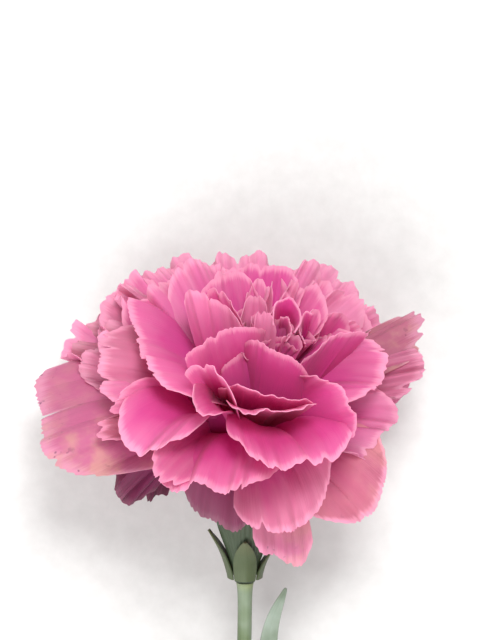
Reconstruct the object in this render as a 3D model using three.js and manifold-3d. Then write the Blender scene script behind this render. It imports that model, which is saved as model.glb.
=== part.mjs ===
// Cut carnation (Dianthus caryophyllus), lying on its side on a flat surface.
// Millimetres. +Y runs up the flower, +Z is up from the surface, +X is to the right of someone
// who looks down on the bloom with its stem toward them. The origin is the spot under the bloom
// where the lowest petals are pressed flat.
import * as THREE from 'three';
import Module from 'manifold-3d';
import { mergeVertices } from 'three/addons/utils/BufferGeometryUtils.js';

const wasm = await Module();
wasm.setup();

// ---------- driving dimensions ----------
const BLOOM_HEIGHT = 31.5;          // bloom centre above the surface
const REST_SPOT = [2.14, 3.38];     // rest spot from the point under the bloom centre
const FACE_TILT = 30;               // degrees the open face leans up from +Y
const CORE_RADII = [17, 15.5, 17];
const CORE_CENTRE = [1, -4, 1];     // from the bloom centre

const BLADE = 0.8;                  // petal thickness
const ROOT_SPREAD = 6;              // how far apart the petals' roots stand in the mouth
const ROOT_SHARE = 0.16;            // the same for a short petal, over its reach
const ROOT_START = 0.3;             // part of each petal's length that the core holds
const KNEE_LEAN = 0.65;             // how far a petal's middle leans toward the face
const FAN_POWER = 1.25;             // how late a petal widens from its claw
const CORNER_ROUND = 0.17;          // how far the rim's corners are rounded, over its width
const CORNER_POWER = 5;             // how close to the corners the rounding begins
const RIM_WAVE = 0.03;              // how much higher one side of the rim stands, over its width
const RIM_TURN = 4.1;               // radians of that wave from the middle to a corner
const RIM_SHIFT = 6;                // how far it may be shifted, in radians
const NOTCH = 0.03;                 // depth of the rim's cuts, over the petal's length
const PRESS = 1.2;                  // how softly petals bend where the surface presses them
const PRESS_REACH = 8 * PRESS;      // height above which they aren't bent
const WIDE_PETAL = 12;              // rims wider than this have more waves cut into them
const COARSE_GROWTH = 2.6;          // how fast a petal's waves grow toward the rim
const FINE_WAVES = 1.9;             // fine waves to each coarse one
const FINE_SHIFT = 1.2;             // how far the coarse waves shift the fine ones
const FINE_SHARE = 0.5;             // depth of the fine waves, over that of the coarse ones
const FINE_GROWTH = 4;
const WARP_SHARE = 0.5;             // depth of the slow warp under both
const WARPS = [[3.1, 2.2], [-1.7, 4.3]];   // its two waves, in radians across and along

const CALYX_LENGTH = 27.3;          // mouth to foot
const CALYX_RADII = [7.6, 7.8, 6.9, 5.4, 3.4, 1.9];   // mouth to foot, evenly spaced
const CALYX_WALL = 1.0;
const CALYX_RIM = -0.9;             // tooth tips, below the mouth plane
const CALYX_TEETH = 5;
const TOOTH_HEIGHT = 5;
// Half of the cut between two teeth: shares of the teeth's pitch and of their height.
const TOOTH_CUT = [[0.46, -0.4], [0.30, 0.45], [0, 1]];
const TOOTH_CUT_SPAN = [3, 15];     // from the axis, past the wall
const CALYX_FLOOR = 23.5;           // depth of the cup
const WALL_STEPS = [CALYX_RIM, 6, 12, 18, CALYX_FLOOR];
const CLAW_DEPTH = 12;              // how far the petal claws reach into the calyx
const CLAW_TOP = -6;                // where the claws join the core, below the mouth plane
const OVARY_RADIUS = 2.1;
// Its profile from the foot up: shares of its radius and of its height.
const OVARY_PROFILE = [[0, 0], [0.55, 0], [0.8, 0.2], [1, 0.5], [0.75, 0.8], [0.3, 1], [0, 1]];

const BRACT_THICK = 0.7;
const BRACT_BASE = 26.6;            // below the mouth
const BRACT_HALF_ANGLE = 41;        // half the arc that a bract wraps round the calyx
const BRACT_TAPER = 0.9;            // how much narrower its tip is than its foot
const BRACT_CLEAR = 0.25;           // added to the gap, since a bract is flatter than the calyx
const STEM_RADIUS = 1.45;
const STEM_LEAD = 45;               // how far the stem runs on along the flower's axis
const NODE_RADIUS = 2.4;            // swollen joints
const NODE_LENGTH = 3.4;
const NODE_SPOTS = [0.25, 0.66];    // joints, as parts of the stem's length
const CUT_END = [-4, -168];         // cut end of the stem, from the point under the bloom centre
const CUT_END_LEAD = [1, 42, 2];    // from the cut end toward the bend of the stem
const CUT_END_DIP = 0.06;           // how much of the cut end's underside lies flat
const LEAF_THICK = 0.8;
const LEAF_OPENING = 9;             // how much flatter its channel is at the tip than at the base
const LEAF_TIP = 0.35;              // half width at the tip
const LEAF_OUTLINE = [2.6, 0.8];    // powers that narrow it toward the tip
const LEAF_TURN = 1.4;              // how soon it turns flat after the joint
const SHEATH_SHARE = 0.12;          // part of a leaf's length that clasps the joint
const SHEATH_WIDTH = 1.25;          // half its arc there, over the joint's radius
const SHEATH_FADE = 1.5;            // how fast the clasping part narrows
const GAP = 0.3;                    // between pieces that meet

// ---------- mesh steps ----------
const PETAL_ROWS = 3;
const WIDE_COLUMNS = 6;
const NARROW_COLUMNS = 4;
const CORE_STEPS = [14, 10];
const CLAW_SIDES = 16;
const SLEEVE_SIDES = 20;
const CALYX_SIDES = 30;
const STEM_SIDES = 12;
const STEM_STEPS = 36;
const JOINT_BANDS = 8;
const OVARY_SIDES = 16;
const BRACT_STEPS = 6;
const LEAF_ROWS = 14;
const LEAF_COLUMNS = 4;
const DIFF = 0.01;                  // step for surface directions

// ---------- directions ----------
const V = (x, y, z) => new THREE.Vector3(x, y, z);
const tilt = FACE_TILT * Math.PI / 180;
const FACE = V(0.05, Math.cos(tilt), Math.sin(tilt)).normalize();
const FRONT = V(0, -Math.sin(tilt), Math.cos(tilt));
const SIDE = FACE.clone().cross(FRONT).normalize();
const MOUTH = V(2, -15, -3.5);    // where the petals leave the calyx
const STEM_DIR = V(0, -0.975, -0.22).normalize();

// ---------- petals ----------
// Each row: name, left corner, tip, right corner of the rim (from the bloom centre), rise and
// push of the middle of the petal along the bloom's axis and outward, ruffle depth, waves.
const PETALS = [
  // lower guard petals
  ['G1', [-11, -23, 11], [-4, -30, 10], [4, -30.5, 9], 6, 12, 0.8, 3],
  ['G2', [0.5, -31.5, 14], [11.5, -29.8, 17], [21, -18.5, 18], 6, 12, 1, 4],
  ['G3', [17, -31.6, 6], [28, -25.5, 9], [31.5, -14.5, 7], 5, 12, 0.9, 3],
  ['G4', [3.6, -36, 4], [9.5, -37, 3], [16, -38, 2], 4, 9, 0.6, 3],
  ['G5a', [-25.5, -19, 3], [-23, -25.5, 1], [-18, -25, -1], 5, 10, 1.2, 5],
  // left side
  ['G6', [-41.5, 0, -13], [-39.2, -11.5, 3], [-25.5, -23.5, 13], 20, 6, 0.9, 4],
  ['G7a', [-32, -2, -12], [-34, 5, -16], [-27, 12.5, -20], 16, 0, 1.2, 5],
  ['G7b', [-30, -3.5, -2], [-30, 5, -6], [-23.5, 11.5, -12], 16, 0, 1.2, 5],
  ['G8', [-27.5, -1, 8], [-27.5, 5, 5], [-24.5, 11, -4], 20, 0, 0.8, 2],
  ['G9', [-28, 7, -12], [-24.5, 17, -16], [-18, 14, -12], 20, 0, 1.2, 4],
  // back rim
  ['B1', [-26, 13, -20], [-18.5, 21, -22], [-10, 21, -24], 20, 0, 1.2, 5],
  ['B3', [-15, 17, -4], [-8, 23.5, -8], [0, 20, -9], 22, 0, 0.8, 5],
  ['B4', [-7, 20.5, -20], [0.5, 25, -22], [8.5, 21, -22], 20, 0, 1, 4],
  ['B5', [-3, 21.4, -6], [5, 22.6, -9], [13, 21.6, -10], 22, 0, 0.8, 3],
  ['B6', [9.5, 20, -16], [15, 22.5, -18], [20.5, 17.5, -18], 20, 0, 1, 4],
  ['B7', [13.5, 18, -22], [21.5, 21.5, -23], [27, 13, -20], 20, 0, 1, 4],
  ['B9', [21, 13, -14], [28.5, 14, -15], [33, 5, -11], 18, 0, 1.2, 5],
  // right side
  ['R1', [33, 11.5, -11], [37.5, 12, -8], [38, 4, -4], 14, 0, 0.8, 3],
  ['R2', [38, 6, -6], [37.5, 0.5, -3], [32, -6, 1], 12, 4, 1.2, 5],
  ['R3', [32, -3, 4], [30.5, -11.5, 6], [23, -15.5, 11], 8, 8, 1.2, 4],
  ['R4', [26.5, 9.6, 2], [30, 1, 8], [26, -5.5, 16], 20, 0, 1, 4],
  ['R5', [14, 1.2, 22], [21.5, -3.2, 24.5], [24.8, -11.5, 23], 14, 14, 0.7, 3],
  ['R6', [13.2, 3.4, 17], [20, 7.2, 14], [28, 10.8, 8], 14, 8, 0.5, 2],
  ['R7', [14, 7, 10], [18.5, 12, 5], [25, 11, 0], 18, 4, 0.6, 2],
  ['R8', [16, 13, -6], [22, 17, -10], [28, 11.5, -9], 20, 0, 0.8, 4],
  // front
  ['F1', [-24.4, -7.6, 18], [-17.8, -14.9, 27], [-8.6, -11, 27.5], 20, 8, 0.9, 3],
  ['F2', [-17, -20, 24], [-5, -22.4, 30], [9.5, -19, 29], 14, 7, 1.2, 5],
  ['F3', [0, -12.5, 32], [10, -17.4, 35], [24, -13.4, 28], 17, 9, 1.1, 4],
  ['F4', [-23, 17.5, -3], [-19.6, 5.5, 13], [-10.5, -4.5, 27], 22, 0, 1.3, 4],
  ['F5', [-1, -4.2, 33], [6.5, -6.3, 35], [16.2, -4.8, 31], 13, 6, 0.6, 3],
  ['F5b', [-3, -1.2, 30.5], [5, -2.3, 32.5], [16, -4.9, 31], 13, 5, 0.5, 3],
  ['F6', [-9.2, 0, 29], [-5, 1.6, 31], [-1.2, -4.8, 34], 13, 6, 0.5, 2],
  ['F8', [-10.8, 17.2, 10], [-5.5, 16, 12], [1.5, 11.8, 14], 18, 6, 0.7, 3],
  ['F9', [-10.5, 5.5, 22], [-3, 8.2, 23], [5.5, 11.5, 17], 16, 10, 0.6, 3],
  // inner whorl
  ['W1', [2.6, 8, 20], [8, 5.4, 25], [14.6, 1.8, 21], 13, 12, 0.3, 2],
  ['W2', [-3.4, -0.5, 19], [-0.6, 3.2, 20.5], [4.6, 4.2, 17], 12, 12, 0.3, 2],
  ['W3', [3.8, 11.4, 17.5], [5.9, 13.2, 18], [8.2, 9.6, 17.5], 16, 8, 0.3, 2],
  ['W4', [6.6, 14, 10], [10.8, 16.4, 6.5], [13.2, 8.4, 12.5], 18, 2, 0.3, 2],
  ['W6', [13, 8, 14], [15.4, 12.6, 10], [17.6, 11.6, 8], 18, 4, 0.5, 2],
  ['W7', [0.3, 12.6, 11], [3.6, 16.3, 8], [7, 14.6, 9], 20, 2, 0.4, 2],
  ['W9', [8.8, 17.4, 2], [11, 19.2, 0], [13.2, 18.2, 0], 20, 0, 0.4, 2],
  ['W11', [12.6, 14.5, 4], [15.6, 18, 0], [19.8, 12.6, 2], 20, 0, 0.5, 2],
  ['W12', [-6, 17.6, 6], [-2, 16.6, 8], [1.6, 12.4, 12], 20, 2, 0.4, 2],
  ['W13', [-7.5, 17, 2], [-1, 20.4, -3], [4.6, 18.4, 0], 20, 0, 0.5, 3],
  // small
  ['F7', [-19, 14, -4], [-14.5, 20, -6], [-8, 21.5, -8], 20, 0, 1, 3],
];

// Rings that fill the underside of the lying bloom: angle from the face, reach, azimuths
// (0 is the right, 90 is straight down), width, rise, push.
const RINGS = [
  [126, 28, [62, 118], 20, 3, 12],
  [111, 37, [45, 90, 135], 24, 5, 10],
  [97, 39, [34, 62, 90, 118, 145], 24, 9, 8],
  [80, 31, [50, 90, 130], 22, 14, 3],
  [60, 24, [90], 18, 18, 0],
];
const RING_SEED = 500;

// A repeatable draw between 0 and 1.
function draw(seed, k) {
  const x = Math.sin(seed * 12.9898 + k * 78.233) * 43758.5453;
  return x - Math.floor(x);
}

function ringPetals() {
  const rows = [];
  for (const [theta, reach, azimuths, width, rise, push] of RINGS) {
    for (const azimuth of azimuths) {
      const s = RING_SEED + rows.length;
      const a = (azimuth + 10 * (draw(s, 1) - 0.5)) * Math.PI / 180;
      const t = (theta + 10 * (draw(s, 2) - 0.5)) * Math.PI / 180;
      const r = reach * (0.95 + 0.1 * draw(s, 3));
      const radial = SIDE.clone().multiplyScalar(Math.cos(a)).addScaledVector(FRONT, -Math.sin(a));
      const around = SIDE.clone().multiplyScalar(-Math.sin(a)).addScaledVector(FRONT, -Math.cos(a));
      const tip = radial.clone().multiplyScalar(r * Math.sin(t)).addScaledVector(FACE, r * Math.cos(t));
      const half = width * (0.9 + 0.2 * draw(s, 4)) / 2;
      const corner = tip.clone()
        .addScaledVector(radial, -0.22 * width * Math.sin(t))
        .addScaledVector(FACE, -4 * (draw(s, 5) - 0.5));
      const left = corner.clone().addScaledVector(around, -half);
      const right = corner.clone().addScaledVector(around, half);
      const ruffle = 0.9 + 0.7 * draw(s, 6);
      const waves = 3 + Math.floor(3 * draw(s, 7));
      rows.push([`X${rows.length}`, left.toArray(), tip.toArray(), right.toArray(),
        rise, push, ruffle, waves]);
    }
  }
  return rows;
}

// The middle surface of one petal: a curved spine from the calyx to the tip, spread sideways
// until its rim runs through the left corner, the tip and the right corner.
class Petal {
  constructor(row, seed) {
    const [, left, tip, right, rise, push, ruffle, waves] = row;
    this.seed = seed;
    this.ruffle = ruffle;
    this.waves = waves;
    const A = V(...left);
    const B = V(...right);
    this.tip = V(...tip);
    const axis = STEM_DIR.clone().negate();
    const rel = this.tip.clone().sub(MOUTH);
    const flat = rel.clone().addScaledVector(axis, -rel.dot(axis));
    const reach = flat.length();
    const outward = flat.divideScalar(reach);
    this.root = MOUTH.clone().addScaledVector(outward, Math.min(ROOT_SPREAD, ROOT_SHARE * reach));
    this.knee = this.root.clone()
      .addScaledVector(axis, (1 - KNEE_LEAN) * rise)
      .addScaledVector(FACE, KNEE_LEAN * rise)
      .addScaledVector(outward, push);
    this.halfSpan = B.clone().sub(A).multiplyScalar(0.5);
    this.sag = A.clone().add(B).multiplyScalar(0.5).sub(this.tip);
    this.aspect = 2 * this.halfSpan.length() / this.tip.distanceTo(this.root);
    this.phases = [20, 21, 22, 23].map((k) => 2 * Math.PI * draw(seed, k));
    const middle = this.bare(0.6, 0);
    const normal = this.normal(0.6, 0, 1);
    this.sign = normal.dot(FACE.clone().multiplyScalar(60).sub(middle)) < 0 ? -1 : 1;
  }

  bare(u, v) {
    const spread = Math.sin(Math.PI / 2 * Math.min(Math.max(u, 0), 1)) ** FAN_POWER;
    return V(0, 0, 0)
      .addScaledVector(this.root, (1 - u) ** 2)
      .addScaledVector(this.knee, 2 * u * (1 - u))
      .addScaledVector(this.tip, u * u)
      .addScaledVector(this.halfSpan, spread * v)
      .addScaledVector(this.sag, spread * v * v);
  }

  normal(u, v, sign) {
    const du = this.bare(u + DIFF, v).sub(this.bare(u - DIFF, v));
    const dv = this.bare(u, v + DIFF).sub(this.bare(u, v - DIFF));
    return dv.cross(du).normalize().multiplyScalar(sign);
  }

  // A point of the ruffled petal: two sets of waves that grow toward the rim, over a slow warp.
  // It is pressed up where it would go through the surface that the flower lies on.
  point(u, v) {
    const [p0, p1, , p3] = this.phases;
    const turn = Math.PI / 2 * this.waves * v;
    const coarse = Math.sin(turn + p0);
    const fine = Math.sin(FINE_WAVES * turn + p1 + FINE_SHIFT * coarse);
    const [first, second] = WARPS.map(([across, along]) => across * v + along * u);
    const warp = Math.sin(first + p3) * Math.sin(second + p0);
    const d = this.ruffle * (coarse * u ** COARSE_GROWTH + FINE_SHARE * fine * u ** FINE_GROWTH
      + WARP_SHARE * warp * u);
    const p = this.bare(u, v).addScaledVector(this.normal(u, v, this.sign), d);
    p.z += BLOOM_HEIGHT;
    if (p.z < PRESS_REACH) p.z = PRESS * Math.log1p(Math.exp(p.z / PRESS));
    return p;
  }
}

// ---------- sheets and solids ----------
// A closed blade of even thickness over a grid of middle points, split alike on both faces.
function sheetGeometry(middle, thickness) {
  const rows = middle.length - 1;
  const columns = middle[0].length - 1;
  const positions = [];
  for (const side of [1, -1]) {
    for (let i = 0; i <= rows; i += 1) {
      for (let j = 0; j <= columns; j += 1) {
        const du = middle[Math.min(i + 1, rows)][j].clone().sub(middle[Math.max(i - 1, 0)][j]);
        const dv = middle[i][Math.min(j + 1, columns)].clone().sub(middle[i][Math.max(j - 1, 0)]);
        const p = middle[i][j].clone().addScaledVector(dv.cross(du).normalize(), side * thickness / 2);
        positions.push(p.x, p.y, p.z);
      }
    }
  }
  const layer = (rows + 1) * (columns + 1);
  const at = (i, j) => i * (columns + 1) + j;
  const index = [];
  for (let i = 0; i < rows; i += 1) {
    for (let j = 0; j < columns; j += 1) {
      const [a, b, c, d] = [at(i, j), at(i, j + 1), at(i + 1, j + 1), at(i + 1, j)];
      index.push(a, b, c, a, c, d);
      index.push(a + layer, c + layer, b + layer, a + layer, d + layer, c + layer);
    }
  }
  const rim = [];
  for (let j = 0; j <= columns; j += 1) rim.push(at(0, j));
  for (let i = 1; i <= rows; i += 1) rim.push(at(i, columns));
  for (let j = columns - 1; j >= 0; j -= 1) rim.push(at(rows, j));
  for (let i = rows - 1; i > 0; i -= 1) rim.push(at(i, 0));
  rim.forEach((a, k) => {
    const b = rim[(k + 1) % rim.length];
    index.push(a, a + layer, b + layer, a, b + layer, b);
  });
  const geometry = new THREE.BufferGeometry();
  geometry.setAttribute('position', new THREE.Float32BufferAttribute(positions, 3));
  geometry.setIndex(index);
  return geometry;
}

function toSolid(geometry) {
  const bare = geometry.clone();
  bare.deleteAttribute('normal');
  bare.deleteAttribute('uv');
  const merged = mergeVertices(bare, 1e-4);
  return new wasm.Manifold(new wasm.Mesh({
    numProp: 3,
    vertProperties: new Float32Array(merged.attributes.position.array),
    triVerts: new Uint32Array(merged.index.array),
  }));
}

function join(solids) {
  return solids.reduce((sum, solid) => sum.add(solid));
}

function toGeometry(solid) {
  const mesh = solid.getMesh();
  const positions = [];
  for (let i = 0; i < mesh.vertProperties.length; i += mesh.numProp) {
    positions.push(...mesh.vertProperties.slice(i, i + 3));
  }
  const geometry = new THREE.BufferGeometry();
  geometry.setAttribute('position', new THREE.Float32BufferAttribute(positions, 3));
  geometry.setIndex(Array.from(mesh.triVerts));
  return mergeVertices(geometry, 1e-4);
}

// The largest connected body of a geometry: loose scraps and sealed hollows are left out.
function largestBody(geometry) {
  const index = geometry.index.array;
  const position = geometry.attributes.position;
  const parent = Array.from({ length: position.count }, (_, i) => i);
  const find = (i) => {
    let root = i;
    while (parent[root] !== root) {
      parent[root] = parent[parent[root]];
      root = parent[root];
    }
    return root;
  };
  for (let k = 0; k < index.length; k += 3) {
    parent[find(index[k])] = find(index[k + 1]);
    parent[find(index[k + 1])] = find(index[k + 2]);
  }
  const volumes = new Map();
  const [a, b, c] = [V(0, 0, 0), V(0, 0, 0), V(0, 0, 0)];
  for (let k = 0; k < index.length; k += 3) {
    a.fromBufferAttribute(position, index[k]);
    b.fromBufferAttribute(position, index[k + 1]);
    c.fromBufferAttribute(position, index[k + 2]);
    const body = find(index[k]);
    volumes.set(body, (volumes.get(body) ?? 0) + a.dot(b.cross(c)) / 6);
  }
  const [largest] = [...volumes].sort((p, q) => q[1] - p[1])[0];
  const kept = [];
  for (let k = 0; k < index.length; k += 3) {
    if (find(index[k]) === largest) kept.push(index[k], index[k + 1], index[k + 2]);
  }
  const body = new THREE.BufferGeometry();
  body.setAttribute('position', position.clone());
  body.setIndex(kept);
  return body;
}

// ---------- flower axis ----------
// A turned solid about the flower's axis: profile points are (radius, distance below the mouth).
const mouth = MOUTH.clone().add(V(0, 0, BLOOM_HEIGHT));
const alongAxis = new THREE.Quaternion().setFromUnitVectors(V(0, -1, 0), STEM_DIR);

function turned(profile, segments) {
  const points = profile.map(([radius, below]) => new THREE.Vector2(Math.max(radius, 0), -below));
  const geometry = new THREE.LatheGeometry(points, segments);
  geometry.applyQuaternion(alongAxis);
  geometry.translate(mouth.x, mouth.y, mouth.z);
  return geometry;
}

function calyxRadius(below) {
  const spot = Math.min(Math.max(below / CALYX_LENGTH, 0), 1) * (CALYX_RADII.length - 1);
  const i = Math.min(Math.floor(spot), CALYX_RADII.length - 2);
  return CALYX_RADII[i] + (CALYX_RADII[i + 1] - CALYX_RADII[i]) * (spot - i);
}

// ---------- bloom ----------
function petalSolid(row, seed) {
  const petal = new Petal(row, seed);
  const span = petal.halfSpan.length() * 2;
  const columns = span > WIDE_PETAL ? WIDE_COLUMNS : NARROW_COLUMNS;
  const middle = [];
  for (let i = 0; i <= PETAL_ROWS; i += 1) {
    const along = ROOT_START + (1 - ROOT_START) * i / PETAL_ROWS;
    const line = [];
    for (let j = 0; j <= columns; j += 1) {
      const v = -1 + 2 * j / columns;
      const notch = j % 2 === 1 ? 0 : NOTCH;
      const corner = CORNER_ROUND * Math.abs(v) ** CORNER_POWER;
      const wave = RIM_WAVE * Math.sin(RIM_TURN * v + RIM_SHIFT * draw(seed, 13));
      const top = 1 - petal.aspect * (corner + wave) - notch;
      line.push(petal.point(along * top, v));
    }
    middle.push(line);
  }
  return toSolid(sheetGeometry(middle, BLADE));
}

function bloom() {
  const core = new THREE.SphereGeometry(1, ...CORE_STEPS);
  core.scale(...CORE_RADII);
  core.translate(...CORE_CENTRE);
  core.translate(0, 0, BLOOM_HEIGHT);
  const petals = [...PETALS, ...ringPetals()].map(petalSolid);
  const sleeve = toSolid(turned([
    [0, CLAW_DEPTH],
    [calyxRadius(CLAW_DEPTH) + GAP, CLAW_DEPTH],
    [calyxRadius(CLAW_DEPTH / 2) + GAP, CLAW_DEPTH / 2],
    [calyxRadius(0) + GAP, 0],
    [calyxRadius(0) + GAP, CALYX_RIM - GAP],
    [0, CALYX_RIM - GAP],
  ], SLEEVE_SIDES));
  const inside = (below) => calyxRadius(below) - CALYX_WALL - GAP;
  const claws = toSolid(turned([
    [0, CLAW_DEPTH],
    [inside(CLAW_DEPTH), CLAW_DEPTH],
    [inside(CLAW_DEPTH / 2), CLAW_DEPTH / 2],
    [inside(0), 0],
    [inside(0), CLAW_TOP],
    [0, CLAW_TOP],
  ], CLAW_SIDES));
  return largestBody(toGeometry(
    join([toSolid(core), ...petals]).subtract(sleeve).add(claws).subtract(underSurface()),
  ));
}

// Everything lower than the surface that the flower lies on.
function underSurface() {
  const slab = new THREE.BoxGeometry(500, 500, 50);
  slab.translate(0, -80, -25);
  return toSolid(slab);
}

// ---------- calyx, ovary and bracts ----------
function calyx() {
  const steps = CALYX_RADII.map((radius, i) => [radius, i * CALYX_LENGTH / (CALYX_RADII.length - 1)]);
  const outer = [[calyxRadius(0), CALYX_RIM], ...steps.slice(1)].reverse();
  const wall = (below) => [calyxRadius(below) - CALYX_WALL, below];
  const inner = [...WALL_STEPS.map(wall), [0, CALYX_FLOOR]];
  const tube = toSolid(turned([[0, CALYX_LENGTH], ...outer, ...inner], CALYX_SIDES));
  const pitch = 2 * Math.PI * calyxRadius(0) / CALYX_TEETH;
  const left = TOOTH_CUT.map(([w, h]) => new THREE.Vector2(-w * pitch, -h * TOOTH_HEIGHT));
  const right = left.slice(0, -1).reverse().map((point) => new THREE.Vector2(-point.x, point.y));
  const notch = new THREE.Shape([...left, ...right]);
  const [start, end] = TOOTH_CUT_SPAN;
  const notches = [];
  for (let k = 0; k < CALYX_TEETH; k += 1) {
    const wedge = new THREE.ExtrudeGeometry(notch, { depth: end - start, bevelEnabled: false });
    wedge.translate(0, -CALYX_RIM, start);
    wedge.rotateY((k + 0.5) * 2 * Math.PI / CALYX_TEETH);
    wedge.applyQuaternion(alongAxis);
    wedge.translate(mouth.x, mouth.y, mouth.z);
    notches.push(toSolid(wedge));
  }
  return toGeometry(tube.subtract(join(notches)));
}

function ovary() {
  const top = CLAW_DEPTH + GAP;
  const bottom = CALYX_FLOOR - GAP;
  const height = bottom - top;
  const profile = OVARY_PROFILE.map(([radius, up]) => [OVARY_RADIUS * radius, bottom - height * up]);
  return turned(profile, OVARY_SIDES);
}

// Each row: name, bearing about the axis, length, flare of the tip.
const BRACTS = [
  ['bract_left', 180, 10, 1.1],
  ['bract_right', 0, 6, 0.9],
  ['bract_upper', 90, 8, 0.6],
  ['bract_lower', 270, 9, 0.5],
];

function bract(bearing, length, flare) {
  const middle = [];
  for (let i = 0; i <= BRACT_STEPS; i += 1) {
    const s = i / BRACT_STEPS;
    const line = [];
    for (let j = 0; j <= BRACT_STEPS; j += 1) {
      const t = -1 + 2 * j / BRACT_STEPS;
      const half = BRACT_HALF_ANGLE * (1 - BRACT_TAPER * s ** 2);
      const below = BRACT_BASE - length * s;
      const angle = (bearing + half * t) * Math.PI / 180;
      const radius = calyxRadius(below) + GAP + BRACT_CLEAR + BRACT_THICK / 2 + flare * s ** 3;
      const p = V(radius * Math.cos(angle), -below, radius * Math.sin(-angle));
      line.push(p.applyQuaternion(alongAxis).add(mouth));
    }
    middle.push(line);
  }
  return sheetGeometry(middle, BRACT_THICK);
}

// ---------- stem and leaves ----------
const stemTop = mouth.clone().addScaledVector(STEM_DIR, CALYX_LENGTH + GAP);
const stemEnd = V(...CUT_END, STEM_RADIUS - CUT_END_DIP);
const stemCurve = new THREE.CubicBezierCurve3(
  stemTop,
  stemTop.clone().addScaledVector(STEM_DIR, STEM_LEAD),
  stemEnd.clone().add(V(...CUT_END_LEAD)),
  stemEnd,
);

function stem() {
  const section = new THREE.Shape();
  section.absarc(0, 0, STEM_RADIUS, 0, 2 * Math.PI, false);
  const tube = new THREE.ExtrudeGeometry(section, {
    steps: STEM_STEPS,
    curveSegments: STEM_SIDES / 2,
    extrudePath: stemCurve,
  });
  const joints = NODE_SPOTS.map((spot) => {
    const alongStem = new THREE.Quaternion();
    alongStem.setFromUnitVectors(V(0, 1, 0), stemCurve.getTangentAt(spot));
    const bulge = new THREE.SphereGeometry(1, STEM_SIDES, JOINT_BANDS);
    bulge.scale(NODE_RADIUS, NODE_LENGTH, NODE_RADIUS);
    bulge.applyQuaternion(alongStem);
    const centre = stemCurve.getPointAt(spot);
    bulge.translate(centre.x, centre.y, centre.z);
    return toSolid(bulge);
  });
  return toGeometry(join([toSolid(tube), ...joints]).subtract(underSurface()));
}

// Each row: name, joint, direction in which the leaf leaves it, points of its midrib from the
// middle of the joint, half width.
const LEAVES = [
  ['leaf_near_right', 0, [0.94, 0, 0.34],
    [[4, 6, 1.5], [5, 15, 3], [6.3, 23, 4], [9, 30, 6.5]], 2.0],
  ['leaf_near_left', 0, [-0.94, 0, -0.34],
    [[-5, 6, -2], [-10, 9, -6], [-15, 5, -10], [-18, -3, -13]], 2.0],
  ['leaf_far_right', 1, [0.85, 0, 0.5],
    [[5, 8, 2.5], [12, 22, 3.5], [20, 36, 1.5], [29, 50, -3.5]], 2.4],
  ['leaf_far_left', 1, [-0.85, 0, -0.3],
    [[-5, 8, -1.5], [-12, 19, -3], [-21, 29, -4.3], [-32, 36, -5]], 2.4],
];

function leaf(joint, away, ribs, halfWidth) {
  const heart = stemCurve.getPointAt(NODE_SPOTS[joint]);
  const outward = V(...away).normalize();
  const clasp = NODE_RADIUS + GAP + LEAF_THICK / 2;
  const rib = new THREE.CatmullRomCurve3([
    heart.clone().addScaledVector(outward, clasp).add(V(0, -1, 0)),
    ...ribs.map((point) => heart.clone().add(V(...point))),
  ]);
  const baseSide = V(0, 1, 0).cross(outward).normalize();
  const [narrowing, bluntness] = LEAF_OUTLINE;
  const middle = [];
  for (let i = 0; i <= LEAF_ROWS; i += 1) {
    const s = i / LEAF_ROWS;
    const tangent = rib.getTangentAt(s);
    const flatSide = tangent.clone().cross(V(0, 0, 1)).normalize();
    if (flatSide.dot(baseSide) < 0) flatSide.negate();
    const side = baseSide.clone().lerp(flatSide, Math.min(1, LEAF_TURN * s));
    side.addScaledVector(tangent, -side.dot(tangent)).normalize();
    const inward = side.clone().cross(tangent);
    const round = clasp + LEAF_OPENING * s;
    const sheath = Math.max(0, 1 - s / SHEATH_SHARE) ** SHEATH_FADE;
    const width = halfWidth * (1 - s ** narrowing) ** bluntness + LEAF_TIP
      + (clasp * SHEATH_WIDTH - halfWidth) * sheath;
    const line = [];
    for (let j = 0; j <= LEAF_COLUMNS; j += 1) {
      const angle = (-1 + 2 * j / LEAF_COLUMNS) * width / round;
      line.push(rib.getPointAt(s)
        .addScaledVector(side, round * Math.sin(angle))
        .addScaledVector(inward, round * (1 - Math.cos(angle))));
    }
    middle.push(line);
  }
  return sheetGeometry(middle, LEAF_THICK);
}

// ---------- assembly ----------
const petalPink = new THREE.MeshStandardMaterial({ color: 0xe0609a, roughness: 0.6, metalness: 0 });
const calyxGreen = new THREE.MeshStandardMaterial({ color: 0x4d5f3a, roughness: 0.55, metalness: 0 });
const bractGreen = new THREE.MeshStandardMaterial({ color: 0x73803f, roughness: 0.6, metalness: 0 });
const ovaryGreen = new THREE.MeshStandardMaterial({ color: 0xa9b870, roughness: 0.5, metalness: 0 });
const stemGreen = new THREE.MeshStandardMaterial({ color: 0x5c6d48, roughness: 0.55, metalness: 0 });
const leafGreen = new THREE.MeshStandardMaterial({ color: 0x74836f, roughness: 0.65, metalness: 0 });

const carnation = new THREE.Group();

function place(name, geometry, material) {
  const mesh = new THREE.Mesh(geometry, material);
  mesh.name = name;
  carnation.add(mesh);
}

place('petals', bloom(), petalPink);
place('calyx', calyx(), calyxGreen);
place('ovary', ovary(), ovaryGreen);
for (const [name, bearing, length, flare] of BRACTS) {
  place(name, bract(bearing, length, flare), bractGreen);
}
place('stem', stem(), stemGreen);
for (const [name, joint, away, ribs, halfWidth] of LEAVES) {
  place(name, leaf(joint, away, ribs, halfWidth), leafGreen);
}
carnation.position.set(-REST_SPOT[0], -REST_SPOT[1], 0);

export default carnation;
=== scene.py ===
"""A cut carnation lying on a pale surface: fine petals, calyx, bracts, jointed stem and leaves."""
import math

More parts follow.
